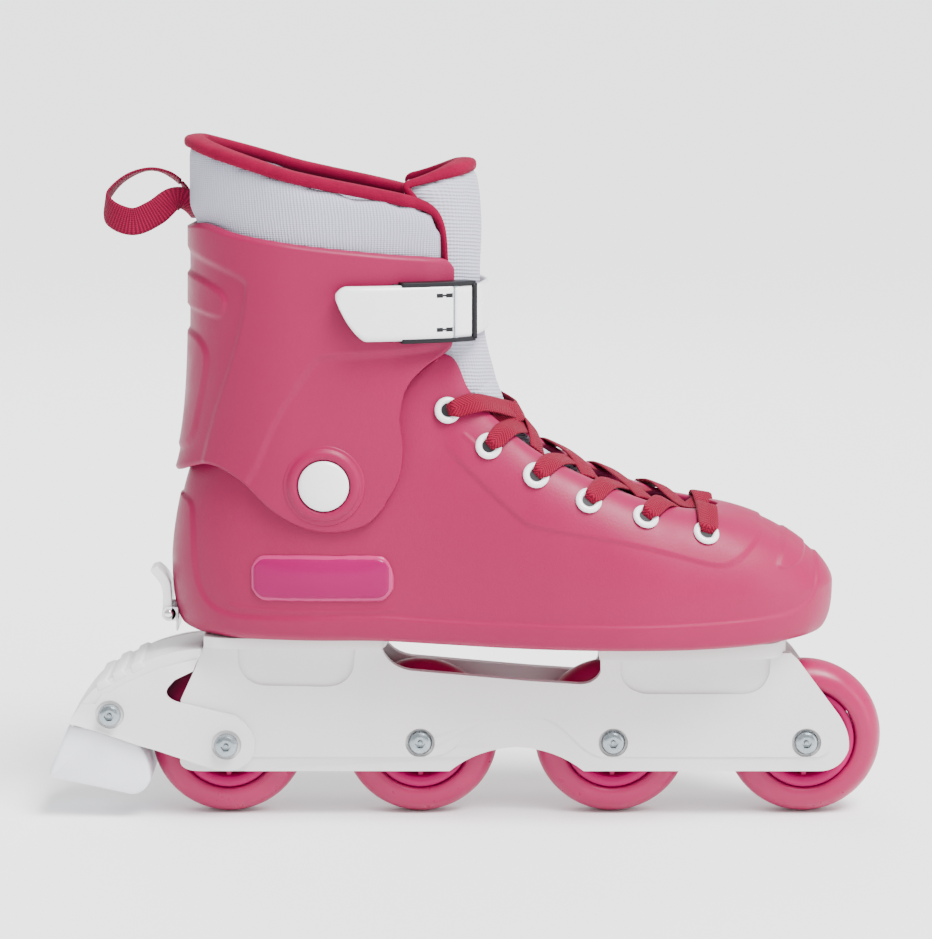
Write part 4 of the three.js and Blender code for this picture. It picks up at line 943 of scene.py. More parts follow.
def collar_binding():
    """The red edge of the liner, thick at the heel and thin down its front."""
    line = COLLAR_TOP + [(-30.4, 166), (-29.6, 152)]
    alpha, z = leg_edge(line, 160)
    share = np.linspace(0, 1, len(alpha))
    middle_depth = COLLAR_OUT + COLLAR_THICK / 2 - 0.7
    centre = leg_point(both_sides(alpha, -1), both_sides(z - 2.0), middle_depth)
    inner = leg_point(both_sides(alpha, -1), both_sides(z - 2.0), middle_depth + 1)
    front = smooth(share, 0.66, 0.82)
    wide = both_sides(lerp(COLLAR_THICK / 2 + 0.9, COLLAR_THICK / 2 + 0.3, front))
    tall = both_sides(lerp(2.9, 1.4, front))
    return heel_bulge(piping("liner_binding", centre, centre - inner, wide, tall, BINDING, "cuff",
                             "liner_fabric"))


def liner_foot():
    """The padded part of the liner inside the boot."""
    around = 150
    u = np.linspace(0, 1, around, endpoint=False)
    floor, out, thick = 9.6, WALL + 5.9, 4.6
    v = np.linspace(0.14, 0.8, 26)
    outer = boot_inside(u, v[:, None], out)
    inner = boot_inside(u, v[::-1][:, None], out + thick)
    outer[..., 2] = np.maximum(outer[..., 2], floor)
    inner[..., 2] = np.maximum(inner[..., 2], floor + thick)
    outer[0, :, 2], inner[-1, :, 2] = floor, floor + thick
    rows = np.concatenate([outer, inner])
    faces = bowl_faces(len(rows), around)
    piece = outward(make("liner_foot_pad", rows, faces, LINING_IN_SHADE, "boot", "liner_fabric", SOLE_Z))
    stuff(piece, 5.0, 3.0, 0.5)
    return piece


# ---- tongue -----------------------------------------------------------------------------------
INSTEP = [(88, 50.5), (57, 62.5), (28, 76.5), (8, 89), (-1.5, 100.5), (-6.5, 112), (-9.5, 122)]
SHIN = [(-13.6, 139.5), (-15.8, 165), (-15.4, 188), (-16.8, 207), (-19.5, 217)]


def tongue_sheet(line, curl, width, lift, steps, across):
    """Points across the tongue: line is its middle in the side view, curl how far its sides drop."""
    t = np.linspace(0, 1, steps)
    middle_line = spline(line, t)
    slope = unit(np.gradient(middle_line, axis=0))
    out = np.stack([slope[:, 1], -slope[:, 0]], axis=1)
    out *= np.where(out[:, :1] < 0, -1, 1)
    s = np.linspace(-1, 1, across)
    drop = curl(t)[:, None] * (1 - np.sqrt(1 - 0.9 * s * s)) / (1 - math.sqrt(0.1))
    away = lift(t[:, None], s[None, :]) - drop
    return np.stack([
        middle_line[:, :1] + out[:, :1] * away, width(t)[:, None] * s[None, :],
        middle_line[:, 1:] + out[:, 1:] * away], axis=-1)


def tongue_piece(name, line, curl, width, thick, body, steps=60, across=28):
    """A part of the tongue. Its back is narrower than its face, so that its sides stay thick."""
    face = tongue_sheet(line, curl, width, lambda t, s: -0.5 + 0 * t * s, steps, across)
    back = tongue_sheet(line, curl, lambda t: 0.86 * width(t), lambda t, s: -(thick - 0.5) + 0 * t * s, steps,
                        across)
    loops = np.concatenate([face, back[:, ::-1]], axis=1)
    return outward(make(name, loops, tube_faces(steps, 2 * across), TONGUE, body, "liner_fabric", SOLE_Z))


def foot_curl(t):
    return lerp(9, 14, t)


def foot_width(t):
    return lerp(15, 21, smooth(t, 0, 0.4))


def shin_curl(t):
    return lerp(22, 29, t)


def shin_width(t):
    return lerp(24, 27, t)


def tongue():
    """The padded tongue, in a part for the boot and one for the cuff."""
    low = tongue_piece("tongue_foot_pad", INSTEP, foot_curl, foot_width, 7, "boot")
    stuff(low, 4.0, 4.0, 1.5)
    bridge = [(-7.4, 113), (-10.4, 125)] + SHIN
    high = tongue_piece("tongue_top_pad", bridge, shin_curl, shin_width, 9, "cuff", 80, 32)
    stuff(high, 4.0, 4.0, 2.2)
    for piece in (low, high):
        place = vertices(piece.data) / MM
        note(piece, "rib", (place[:, 2] - 0.12 * np.abs(place[:, 1])) * MM)
        note(piece, "thread", place[:, 1] * MM)
    return low, high


def tongue_binding():
    """The red edge that runs up both sides of the tongue and over its top."""
    sheet = tongue_sheet(SHIN, shin_curl, shin_width, lambda t, s: -4.2 * (1 - 0.3 * s ** 2) + 0 * t, 60, 41)
    rise = sheet[-1] - sheet[-2]
    top = sheet[-1] + unit(rise) * 0.6
    left, right = sheet[44:-1, 0], sheet[44:-1, -1]
    path = even(np.vstack([left, top, right[::-1]]), 150)
    path = spline(path[::5], np.linspace(0, 1, 150))
    centre = sheet.mean(axis=(0, 1))
    out = path - [centre[0] - 25, 0, 0]
    out[:, 2] = 0
    edge = np.minimum(np.linspace(0, 1, 150), np.linspace(1, 0, 150))
    wide = lerp(2.2, 5.2, smooth(edge, 0.18, 0.4))
    return piping("tongue_binding", path, out, wide, lerp(1.8, 3.2, smooth(edge, 0.1, 0.4)), BINDING, "cuff",
                  "liner_fabric")


# ---- eyelets and laces ------------------------------------------------------------------------
EYELET_SHIFT = 4.8
EYELET_SPOTS = [(boot_x(share) + EYELET_SHIFT, z) for share, z in (
    (0.4, 108), (0.462, 92), (0.532, 78.8), (0.61, 67.4), (0.694, 59.6), (0.785, 51.6))]
EYELET_R = 6.0
EYELET_BORE = 3.0
EYELET_PROUD = 0.9       # how far a ring stands off the boot
LACE_WIDE = 10.0
LACE_THICK = 1.5
LACE_LIFT = {-1: 2.6, 1: 4.3}       # over the tongue: the band from the outer side lies underneath
LEAD = 9                 # how far a lace runs to the toe before it passes the throat's edge
FIRST_LEAD = 15          # the same for the top lace
FAR_LEAD = 1             # and where it passes the edge on its far side


def seat_on_boot(x, z, side=-1, depth=0.0):
    """A point of the boot's side and the way it faces."""
    u, v = boot_side(x, z, side)
    normal = boot_normal(u, v)
    return boot_point(u, v) - normal * depth, normal


def eyelet_tree():
    """A row of eyelets: one ring repeated at each spot, turned to face the way its spot faces."""
    group, names, given, out = tree("eyelet_row", {
        "Ring": ("NodeSocketObject", None), "Scale": ("NodeSocketFloat", 1.0),
        "Finish": ("NodeSocketMaterial", None)})
    size = given.outputs
    ring = add(group, "GeometryNodeObjectInfo", {"Object": size["Ring"]})
    facing = add(group, "GeometryNodeInputNamedAttribute", {"Name": "facing"}, data_type="FLOAT_VECTOR")
    turn = add(group, "FunctionNodeAlignRotationToVector", {"Vector": facing.outputs[0]}, axis="Z")
    each = add(group, "GeometryNodeInstanceOnPoints", {
        "Points": size["Geometry"], "Instance": ring.outputs["Geometry"], "Rotation": turn.outputs[0],
        "Scale": size["Scale"]})
    real = add(group, "GeometryNodeRealizeInstances", {"Geometry": each.outputs[0]})
    done = add(group, "GeometryNodeSetMaterial", {"Geometry": real.outputs[0], "Material": size["Finish"]})
    group.links.new(done.outputs[0], out.inputs[0])
    return group, names


def ring_at_origin(name, profile, finish):
    """A ring turned about the upright axis at the origin. The profile is radius and height."""
    profile = np.asarray(profile, float)
    segments = 40
    angle = np.linspace(0, 2 * np.pi, segments, endpoint=False)
    rows = np.stack([profile[:, :1] * np.cos(angle), profile[:, :1] * np.sin(angle),
                     np.broadcast_to(profile[:, 1:], (len(profile), segments))], axis=-1)
    faces = grid_faces(len(profile), segments, wrap_rows=True, wrap_columns=True)
    return outward(make(name, rows - [CENTRE_X, 0, 0], faces, finish, "boot", "white_plastic"))


def eyelets(side, word):
    """A row of eyelets, and a black plug in each one's bore that paints the shade down its hole."""
    ring = [(EYELET_BORE, -3.4), (EYELET_BORE, 0.7), (EYELET_BORE + 0.35, 1.45), (EYELET_BORE + 1.1, 1.85),
            (EYELET_R - 1.2, 1.8), (EYELET_R - 0.35, 1.45), (EYELET_R, 0.9), (EYELET_R, 0.3),
            (EYELET_R - 1.4, 0.2), (EYELET_BORE + 0.9, 0.1), (EYELET_BORE + 0.9, -3.4)]
    # Black plug filling the bore, in place of the shade down the hole: painted shade.
    hole_shade = [(0.0, 0.75), (EYELET_BORE + 0.05, 0.75), (EYELET_BORE + 0.05, -2.5), (0.0, -2.5)]
    seats = [seat_on_boot(x, z, side, -EYELET_PROUD) for x, z in EYELET_SPOTS]
    group, names = eyelet_tree()
    rows = []
    for name, profile, finish, slot in ((f"eyelets_{word}", ring, GLOSS_WHITE, "white_plastic"),
                                        (f"eyelet_wells_{word}", hole_shade, BLACK, "black_plastic")):
        source = ring_at_origin("eyelet_source", profile, finish)
        mesh = bpy.data.meshes.new(name)
        spots = (np.array([spot for spot, _ in seats]) + [CENTRE_X, 0, SOLE_Z]) * MM
        mesh.from_pydata(spots.tolist(), [], [])
        facing = mesh.attributes.new("facing", "FLOAT_VECTOR", "POINT")
        facing.data.foreach_set("vector", np.array([normal for _, normal in seats], np.float32).ravel())
        sizes = {"Ring": source, "Scale": 1.0, "Finish": finish}
        rows.append(run_tree(name, group, names, sizes, mesh, "boot", slot))
        bpy.data.objects.remove(source)
    return rows


def tape(name, points, facing, wide, thick, finish, body, slot, steps=28):
    """A flat woven band along points, with its length and width kept for the weave."""
    t = np.linspace(0, 1, (len(points) - 1) * steps + 1)
    path, face = spline(points, t), unit(spline(facing, t))
    along = unit(np.gradient(path, axis=0))
    face = unit(face - along * np.sum(face * along, axis=1, keepdims=True))
    side = np.cross(along, face)
    wide = np.interp(t, np.linspace(0, 1, len(wide)), wide) if np.ndim(wide) else np.full(len(t), wide)
    s = np.linspace(-1, 1, 11)
    swell = np.sqrt(np.clip(1 - 0.86 * s ** 6, 0, 1))
    flat = path[:, None] + side[:, None] * (s * wide[:, None] / 2)[..., None]
    rise = face[:, None] * (thick / 2 * swell)[None, :, None]
    loops = np.concatenate([flat + rise, (flat - rise)[:, ::-1]], axis=1)
    size = loops.shape[1]
    piece = make(name, loops, tube_faces(len(t), size), finish, body, slot, SOLE_Z)
    run = run_along(path)
    note(piece, "along", np.repeat(run[:, None], size, axis=1) * MM)
    shares = np.concatenate([s, s[::-1]])
    note(piece, "across", shares[None, :] * wide[:, None] / 2 * MM)
    return outward(piece, merge=False)


INSTEP_LINE = spline(INSTEP, np.linspace(0, 1, 400))


def ridge_at(x, lift):
    """A point over the middle of the tongue, and the way the tongue faces there."""
    k = int(np.argmin(np.abs(INSTEP_LINE[:, 0] - x)))
    slope = unit(INSTEP_LINE[max(k - 3, 0)] - INSTEP_LINE[min(k + 3, 399)])
    face = np.array([abs(slope[1]), 0, abs(slope[0])])
    return np.array([INSTEP_LINE[k, 0], 0, INSTEP_LINE[k, 1]]) + face * lift, face


def lace_start(number, side, lead):
    """Where a lace comes out of an eyelet, and passes the throat's edge, lead further to the toe."""
    x, z = EYELET_SPOTS[number]
    spot, normal = seat_on_boot(x, z, side, -1.0)
    run = np.linspace(0.02, 0.4, 400)
    edges = boot_point(run if side < 0 else 1 - run, 0.985)
    edge = edges[np.argmin(np.abs(edges[:, 0] - x - lead))]
    up = unit(normal + [0, 0, 0.6])
    over = edge + up * 3.4
    toward = unit(over - spot)
    points = [spot - normal * 1.2, spot + normal * 2.2 + toward * 1.2, spot + normal * 3.4 + toward * 4.2,
              over]
    facing = [normal - toward * 0.9, normal - toward * 0.4, normal, up]
    return points, facing


def laces():
    """The lace's crossed bands, and the straight one that joins the two front eyelets."""
    bands = []
    last = len(EYELET_SPOTS) - 1
    for number in range(last):
        for side in (-1, 1):
            points, facing = lace_start(number, side, LEAD if number else FIRST_LEAD)
            far, _ = lace_start(number + 1, -side, FAR_LEAD)
            end = far[3].copy()
            x = max(lerp(points[3][0], end[0], 0.5), -2.5)
            middle_point, face = ridge_at(x, LACE_LIFT[side])
            end[1] *= 0.72
            end[2] -= 2.2
            points += [middle_point, end]
            facing += [face, unit(face + [0, -side * 0.3, 0])]
            bands.append(tape(f"lace_{number}_{side}", points, facing,
                              [4.6, 6.0, 8.6, LACE_WIDE, LACE_WIDE, LACE_WIDE], LACE_THICK, LACE, "boot",
                              "red_webbing"))
    near, near_face = lace_start(last, -1, FAR_LEAD)
    away, away_face = lace_start(last, 1, FAR_LEAD)
    middle_point, face = ridge_at((near[3][0] + away[3][0]) / 2, 4.2)
    bands.append(tape("lace_bar", near + [middle_point] + away[::-1], near_face + [face] + away_face[::-1],
                      [5, 7, 9.4, LACE_WIDE, LACE_WIDE, LACE_WIDE, 9.4, 7, 5], LACE_THICK, LACE, "boot",
                      "red_webbing"))
    return joined("lace_bands", bands)


# ---- strap and buckle -------------------------------------------------------------------------
SEAT = [(-84, -44.4), (-70, -43.3), (-57, -41), (-46, -38.2), (-37, -35.2), (-29, -31.6), (-21.5, -24.6),
        (-17, -13), (-15.1, 0), (-17, 13), (-21.5, 24.6), (-29, 31.6), (-37, 35.2), (-50, 39.5), (-64, 42.6)]
SEAT_LAST = len(SEAT) - 1
BUCKLE_HALF = 12.5       # half of the buckle's height
LEVER_LIFT = 4.5         # underside of the lever over the seat
LEVER_THICK = 4.4
STRAP_HALF = 11.2


def seat(t, lift, z):
    """Points over the strap's seat round the cuff and the tongue. t counts the seat's own points."""
    t, lift, z = np.broadcast_arrays(np.asarray(t, float), lift, z)
    d = 1e-3
    at = spline(SEAT, t / SEAT_LAST)
    ahead = spline(SEAT, np.clip(t / SEAT_LAST + d, 0, 1)) - spline(SEAT, np.clip(t / SEAT_LAST - d, 0, 1))
    face = unit(np.stack([ahead[..., 1], -ahead[..., 0]], axis=-1))
    return np.concatenate([at + face * lift[..., None], (STRAP_Z + z)[..., None]], axis=-1)


def seat_plate(name, t0, t1, lift, thick, low, high, finish, body, slot, round_over, steps):
    """A plate along the seat. lift, low and high are functions of the share run, or plain numbers."""
    share = np.linspace(0, 1, steps)
    value = [q(share) if callable(q) else np.full(steps, float(q)) for q in (lift, low, high)]
    base, bottom, top = (q[:, None] for q in value)
    rows = 17
    r = np.linspace(0, 1, rows)
    z = lerp(bottom, top, r)
    edge = np.minimum(r, 1 - r) * (top - bottom)
    ends = np.minimum(share, share[::-1])[:, None] * abs(t1 - t0) * 10
    rim = np.clip(1 - np.minimum(edge, ends) / round_over, 0, 1)
    crown = thick - round_over * (1 - np.sqrt(np.clip(1 - rim ** 2, 0, 1)))
    t = lerp(t0, t1, share)[:, None]
    face = seat(t, base + crown, z)
    back = seat(t, base + 0 * z, z)
    loops = np.concatenate([face, back[:, ::-1]], axis=1)
    return outward(make(name, loops, plate_faces(steps, rows), finish, body, slot, SOLE_Z))


def strap():
    """The strap, from the buckle over the tongue to the inner side. It lies higher at the buckle."""
    def lift(share):
        return lerp(2.4, 0.6, smooth(share, 0.11, 0.26))

    return seat_plate("strap_band", 4.9, 14, lift, 1.8, -STRAP_HALF, STRAP_HALF, GLOSS_WHITE, "cuff",
                      "white_plastic", 0.7, 120)


def lever_low(share):
    """Lower edge of the lever, cut back at its free end."""
    return -BUCKLE_HALF + 0.2 + 19 * np.clip(1 - share / 0.2, 0, 1) ** 1.7


def lever_high(share):
    """Upper edge of the lever, with its free corner cut round."""
    return BUCKLE_HALF - 0.2 - 3.4 * np.clip(1 - share / 0.08, 0, 1) ** 2


def buckle_lever():
    """The long lever of the buckle, and the two dark slots near its pin."""
    plate = seat_plate("lever_plate", 0.25, 4.62, LEVER_LIFT, LEVER_THICK, lever_low, lever_high, GLOSS_WHITE,
                       "buckle_lever", "white_plastic", 1.6, 110)
    level = LEVER_LIFT + LEVER_THICK - 0.7

    def mark(name, t0, t1, thick, z, half):
        return seat_plate(name, t0, t1, level, thick, z - half, z + half, BLACK, "buckle_lever",
                          "black_plastic", 0.1, 8)

    marks = []
    for z in (-7.6, 7.6):
        marks += [mark("slot", start, start + 0.36, 0.75, z, 1.0) for start in (3.7, 4.18)]
        marks.append(mark("bar", 3.7, 4.5, 0.74, z, 0.45))
    return plate, joined("lever_slots", marks)


def buckle_base():
    """The dark tray that the strap enters, and the white cover past the lever's pin."""
    def dark(name, t0, t1, lift, thick, low, high, steps):
        return seat_plate(name, t0, t1, lift, thick, low, high, BLACK, "cuff", "black_plastic", 0.4, steps)

    tray = [dark("tray_floor", 2.05, 5.55, 0.8, 1.4, -BUCKLE_HALF, BUCKLE_HALF, 70)]
    for level in (-BUCKLE_HALF, BUCKLE_HALF):
        tray.append(dark("tray_wall", 2.3, 5.58, 0.8, 7.6, level - 1.0, level + 1.0, 70))
    tray.append(dark("tray_end", 5.44, 5.6, 4.4, 4.6, -BUCKLE_HALF, BUCKLE_HALF, 8))
    cover = seat_plate("buckle_cover", 4.66, 5.4, LEVER_LIFT + 0.2, 3.9, -BUCKLE_HALF + 1.1,
                       BUCKLE_HALF - 1.1, GLOSS_WHITE, "buckle_lever", "white_plastic", 0.7, 30)
    return joined("buckle_tray", tray), cover


# ---- pull loop and badge ----------------------------------------------------------------------
# Each point is a place and the way the webbing's flat face looks there.
LOOP = [
    (-146.4, 6, 192.5, -1, 0, 0.1), (-149.5, 7, 203, -1, 0, 0.5), (-158, 8, 211, -0.6, 0.2, 1),
    (-168, 8, 213.6, -0.1, 0.1, 1), (-179, 6, 209.5, -0.6, 0.2, 0.9), (-186.5, 1, 201, -1, 0, 0.2),
    (-184, -6, 194.5, -0.7, -0.8, 0), (-174, -9, 191, 0, -1, 0.1), (-164, -8, 195, 0.1, -1, 0.1),
    (-156, -5, 201, -0.1, -0.9, 0.4), (-150, -4, 199.5, -0.5, -0.6, 0.3),
    (-146.6, -3.5, 192.5, -1, -0.3, 0.1)]


def pull_loop():
    """The turned webbing loop at the back of the collar."""
    table = np.array(LOOP, float)
    wide = [11] * 6 + [12, 12.4, 12, 11, 11, 11]
    return tape("pull_tab", table[:, :3], unit(table[:, 3:]), wide, 1.5, TAPE, "cuff", "red_webbing", 20)


def side_patch(name, x0, x1, z0, z1, corner, base_lift, thick, crown, finish, slot):
    """A plate with round corners that follows the boot's outer side."""
    columns, rows = 64, 22
    xs = np.linspace(x0, x1, columns)
    inset = np.clip(corner - np.minimum(xs - x0, x1 - xs), 0, corner)
    short = corner - np.sqrt(np.clip(corner ** 2 - inset ** 2, 0, None))
    place = np.zeros((columns, rows, 3))
    facing = np.zeros((columns, rows, 3))
    for i, x in enumerate(xs):
        for j, share in enumerate(np.linspace(0, 1, rows)):
            z = lerp(z0 + short[i], z1 - short[i], share)
            place[i, j], facing[i, j] = seat_on_boot(x, z)
    for _ in range(6):
        place[1:-1] = (place[:-2] + 2 * place[1:-1] + place[2:]) / 4
        place[:, 1:-1] = (place[:, :-2] + 2 * place[:, 1:-1] + place[:, 2:]) / 4
        facing[1:-1] = unit(facing[:-2] + 2 * facing[1:-1] + facing[2:])
    a = np.abs(np.linspace(-1, 1, columns))[:, None]
    b = np.abs(np.linspace(-1, 1, rows))[None, :]
    edge = np.minimum((1 - a) * (x1 - x0) / 2, (1 - b) * (z1 - z0) / 2)
    rise = thick * np.sqrt(smooth(edge, -0.3, 1.4)) + crown * (1 - a ** 4) * (1 - b ** 2)
    face = place + facing * (base_lift + rise)[..., None]
    back = place + facing * (base_lift - 0.6)
    loops = np.concatenate([face, back[:, ::-1]], axis=1)
    return outward(make(name, loops, plate_faces(columns, rows), finish, "boot", slot, SOLE_Z))


def badge():
    """The plain domed badge on the outer side, and its rim."""
    rim = side_patch("badge_rim", -120.3, -56.3, 22.3, 43.2, 6, 0.2, 1.1, 0.2, BADGE_RIM, "badge_gloss")
    dome = side_patch("badge_dome", -119.2, -57.4, 23.4, 42.1, 5, 0.5, 1.2, 1.1, BADGE, "badge_gloss")
    return rim, dome


# ---- Geometry Nodes ---------------------------------------------------------------------------
def tree(name, sizes):
    """A new node tree with a geometry in and out, and a named input for each size."""
    made = bpy.data.node_groups.new(name, "GeometryNodeTree")
    face = made.interface
    face.new_socket("Geometry", in_out="INPUT", socket_type="NodeSocketGeometry")
    names = {}
    for label, (kind, value) in sizes.items():
        socket = face.new_socket(label, in_out="INPUT", socket_type=kind)
        socket.default_value = value
        names[label] = socket.identifier
    face.new_socket("Geometry", in_out="OUTPUT", socket_type="NodeSocketGeometry")
    return made, names, made.nodes.new("NodeGroupInput"), made.nodes.new("NodeGroupOutput")


def add(group, kind, links=None, **settings):
    """A node of a tree with its settings and inputs: a socket is linked, anything else is a value."""
    node = group.nodes.new(kind)
    for key, value in settings.items():
        setattr(node, key, value)
    for key, value in (links or {}).items():
        if isinstance(value, bpy.types.NodeSocket):
            group.links.new(value, node.inputs[key])
        else:
            node.inputs[key].default_value = value
    return node


def run_tree(name, group, names, values, start, body, slot):
    """Runs a tree on a starting piece and keeps its result as a plain mesh."""
    base = bpy.data.objects.new(name, start)
    bpy.context.scene.collection.objects.link(base)
    base["plan"] = f"{body}|{slot}"
    layer = base.modifiers.new("nodes", "NODES")
    layer.node_group = group
    for label, value in values.items():
        layer[names[label]] = value
    apply(base)
    base.data.polygons.foreach_set("use_smooth", [True] * len(base.data.polygons))
    return by_angle(base, 40)


def spoke_tree():
    """Spokes of a hub: a rounded bar repeated round the wheel's axle."""
    group, names, given, out = tree("hub_spokes", {
        "Count": ("NodeSocketInt", 7), "Inner": ("NodeSocketFloat", 0.0128),
        "Outer": ("NodeSocketFloat", 0.0195), "Width": ("NodeSocketFloat", 0.003),
        "Depth": ("NodeSocketFloat", 0.013), "Finish": ("NodeSocketMaterial", None)})
    size = given.outputs

    def sum_of(operation, a, b):
        return add(group, "ShaderNodeMath", {0: a, 1: b}, operation=operation).outputs[0]

    length = sum_of("SUBTRACT", size["Outer"], size["Inner"])
    middle_r = sum_of("MULTIPLY", sum_of("ADD", size["Outer"], size["Inner"]), 0.5)
    bar_size = add(group, "ShaderNodeCombineXYZ", {"X": length, "Y": size["Depth"], "Z": size["Width"]})
    bar = add(group, "GeometryNodeMeshCube", {"Size": bar_size.outputs[0], "Vertices X": 4, "Vertices Y": 4,
                                              "Vertices Z": 3})
    moved = add(group, "GeometryNodeTransform", {
        "Geometry": bar.outputs["Mesh"],
        "Translation": add(group, "ShaderNodeCombineXYZ", {"X": middle_r}).outputs[0]})
    points = add(group, "GeometryNodePoints", {"Count": size["Count"]})
    index = add(group, "GeometryNodeInputIndex")
    angle = sum_of("MULTIPLY", index.outputs[0], sum_of("DIVIDE", 2 * math.pi, size["Count"]))
    turn = add(group, "ShaderNodeCombineXYZ", {"Y": angle})
    each = add(group, "GeometryNodeInstanceOnPoints", {
        "Points": points.outputs[0], "Instance": moved.outputs[0], "Rotation": turn.outputs[0]})
    real = add(group, "GeometryNodeRealizeInstances", {"Geometry": each.outputs[0]})
    done = add(group, "GeometryNodeSetMaterial", {"Geometry": real.outputs[0], "Material": size["Finish"]})
    group.links.new(done.outputs[0], out.inputs[0])
    return group, names


# ---- wheels -----------------------------------------------------------------------------------
WHEEL_HALF = 12.0
HUB_R = 23.0
BEARING_R = 11.0


def axle_x(number):
    """Place of an axle: 1 is at the toe and 4 at the heel."""
    return (2.5 - number) * PITCH


def moved_copy(piece, name, dx, body):
    """The same piece further along x, on another body."""
    twin = piece.copy()
    twin.data = piece.data.copy()
    twin.name = twin.data.name = name
    bpy.context.scene.collection.objects.link(twin)
    twin.data.transform(Matrix.Translation((dx * MM, 0, 0)))
    twin["plan"] = f"{body}|{piece['plan'].split('|')[1]}"
    return twin


def wheel_parts():
    """The front wheel's tyre, hub and bearing faces. The other wheels are copies of them."""
    x, z = axle_x(1), AXLE_Z
    span = WHEEL_R - HUB_R
    half = [(WHEEL_R, 0.0), (WHEEL_R - 0.1 * span, 0.52 * WHEEL_HALF),
            (WHEEL_R - 0.36 * span, 0.88 * WHEEL_HALF), (WHEEL_R - 0.7 * span, WHEEL_HALF),
            (HUB_R + 1.4, 0.985 * WHEEL_HALF)]
    whole = [(r, -y) for r, y in half[:0:-1]] + half
    crown = spline(whole, np.linspace(0, 1, 49))
    lip = [(HUB_R + 0.5, 0.94 * WHEEL_HALF), (HUB_R + 0.3, 0.86 * WHEEL_HALF)]
    profile = np.vstack([crown, lip, [(r, -y) for r, y in lip[::-1]]])
    tyre = turned("urethane_1", profile, x, z, TYRE, "wheel_1", "tyre_pink", 144)
    rim = [(HUB_R, 0.8 * WHEEL_HALF), (HUB_R - 0.6, 0.86 * WHEEL_HALF), (HUB_R - 4.4, 0.8 * WHEEL_HALF),
           (HUB_R - 5.1, 0.7 * WHEEL_HALF), (HUB_R - 5.4, 3.0), (BEARING_R + 2.8, 2.4), (BEARING_R + 2.8, 0)]
    rim += [(r, -y) for r, y in rim[-2::-1]]
    barrel = [(BEARING_R + 0.3, WHEEL_HALF), (BEARING_R + 2.2, WHEEL_HALF),
              (BEARING_R + 2.7, 0.9 * WHEEL_HALF), (BEARING_R + 3.0, 0)]
    barrel += [(r, -y) for r, y in barrel[-2::-1]]
    rings = [turned("hub_rim", rim, x, z, HUB_PINK, "wheel_1", "hub_pink", 96),
             turned("hub_barrel", barrel, x, z, HUB_PINK, "wheel_1", "hub_pink", 72)]
    group, names = spoke_tree()
    spokes = run_tree("hub_spokes", group, names, {
        "Count": 8, "Inner": (BEARING_R + 1.8) * MM, "Outer": (HUB_R - 3.5) * MM, "Width": 2.6 * MM,
        "Depth": 15 * MM, "Finish": HUB_PINK}, bpy.data.meshes.new("spokes"), "wheel_1", "hub_pink")
    spokes.data.transform(Matrix.Translation(((x + CENTRE_X) * MM, 0, z * MM)))
    spokes = bevel(spokes, 0.5, 2)
    hub = joined("hub_core_1", [*rings, spokes])
    shields = []
    for side, word in ((-1, "a"), (1, "b")):
        face = [(4.4, 11.0), (5.6, 11.9), (6.8, 11.9), (7.2, 11.3), (9.2, 11.3), (9.6, 11.9), (10.9, 11.9),
                (10.95, 5.2), (4.4, 5.2)]
        face = [(r, side * y) for r, y in face]
        shields.append(turned(f"bearing_{word}", face, x, z, DARK_STEEL, "wheel_1", "bearing_steel", 64))
    races = joined("bearings_fine_1", shields)
    return tyre, hub, races


def wheels():
    """All four wheels."""
    first = wheel_parts()
    for number in range(1, 5):
        body = f"wheel_{number}"
        if number == 1:
            parts = first
        else:
            dx = axle_x(number) - axle_x(1)
            parts = [moved_copy(piece, f"{piece.name[:-2]}_{number}", dx, body) for piece in first]
        settle(parts[0], f"tyre_{number}")
        settle(parts[1], f"hub_{number}")
        settle(parts[2], f"bearing_{number}_a", f"bearing_{number}_b")


# ---- frame ------------------------------------------------------------------------------------
FRAME_IN = 13.5          # inner and outer face of each wall, from the middle
FRAME_OUT = 18.5
HEEL_TOP = SOLE_Z + HEEL_RISE - GAP
HEEL_LOW = HEEL_TOP - 5
FRONT_TOP = SOLE_Z - GAP
FRONT_LOW = FRONT_TOP - 7
FRAME_LOW = AXLE_Z - 13.5
REAR = axle_x(4)
FRONT = axle_x(1)
AXLE_HOLE = 4.3          # radius of the holes for the axle bolts
PANEL_DEEP = 1.4
BAND_DEEP = 0.7
BOLT_DEEP = 2.5          # depth of the recess round each axle bolt
CLEAR = 2                # how far a cutting piece stands out of what it cuts


def layer(side, near, far):
    """The two y values of a layer on one side of the middle, the lower first."""
    return sorted((side * near, side * far))


def bar(name, outline, y0, y1, finish, body, slot, width, segments, tools=()):
    """A moulded bar: an outline in the side view made solid, cut and with its edges rounded."""
    piece = slab(name, outline, y0, y1, finish, body, slot)
    if tools:
        cut(piece, list(tools))
    return by_angle(bevel(piece, width, segments), 50)


def drill(r, x, z, y0, y1, sides=48):
    """A round cutting piece along y."""
    return turned("drill", [(0.001, y0), (r, y0), (r, y1), (0.001, y1)], x, z, BLACK, "boot", "steel", sides)


def frame_outline():
    """Side view of the frame's walls."""
    return curve_outline([
        (REAR - 9.5, HEEL_LOW + 1), (REAR - 14.7, 70), (REAR - 20.9, 56.5), (REAR - 21.7, FRAME_LOW + 4.5),
        (REAR - 21, FRAME_LOW, REAR - 12, FRAME_LOW), (axle_x(3) + 13.5, FRAME_LOW),
        (-18, FRAME_LOW + 10.6, 0, FRAME_LOW + 11.4), (18, FRAME_LOW + 10.6, 31, FRAME_LOW),
        (FRONT + 6, FRAME_LOW), (FRONT + 16, FRAME_LOW, FRONT + 19.5, FRAME_LOW + 10),
        (FRONT + 20.5, FRAME_LOW + 18, FRONT + 15, FRAME_LOW + 26), (FRONT - 4, FRONT_LOW - 3),
        (FRONT - 8, FRONT_LOW + 1), (38.5, FRONT_LOW + 1), (38.5, FRONT_LOW - 8),
        (36, FRONT_LOW - 13.5, 29, FRONT_LOW - 13.6), (5, FRONT_LOW - 12),
        (-45, FRONT_LOW - 7.5), (-60, FRONT_LOW - 7, -63, HEEL_LOW + 1)])


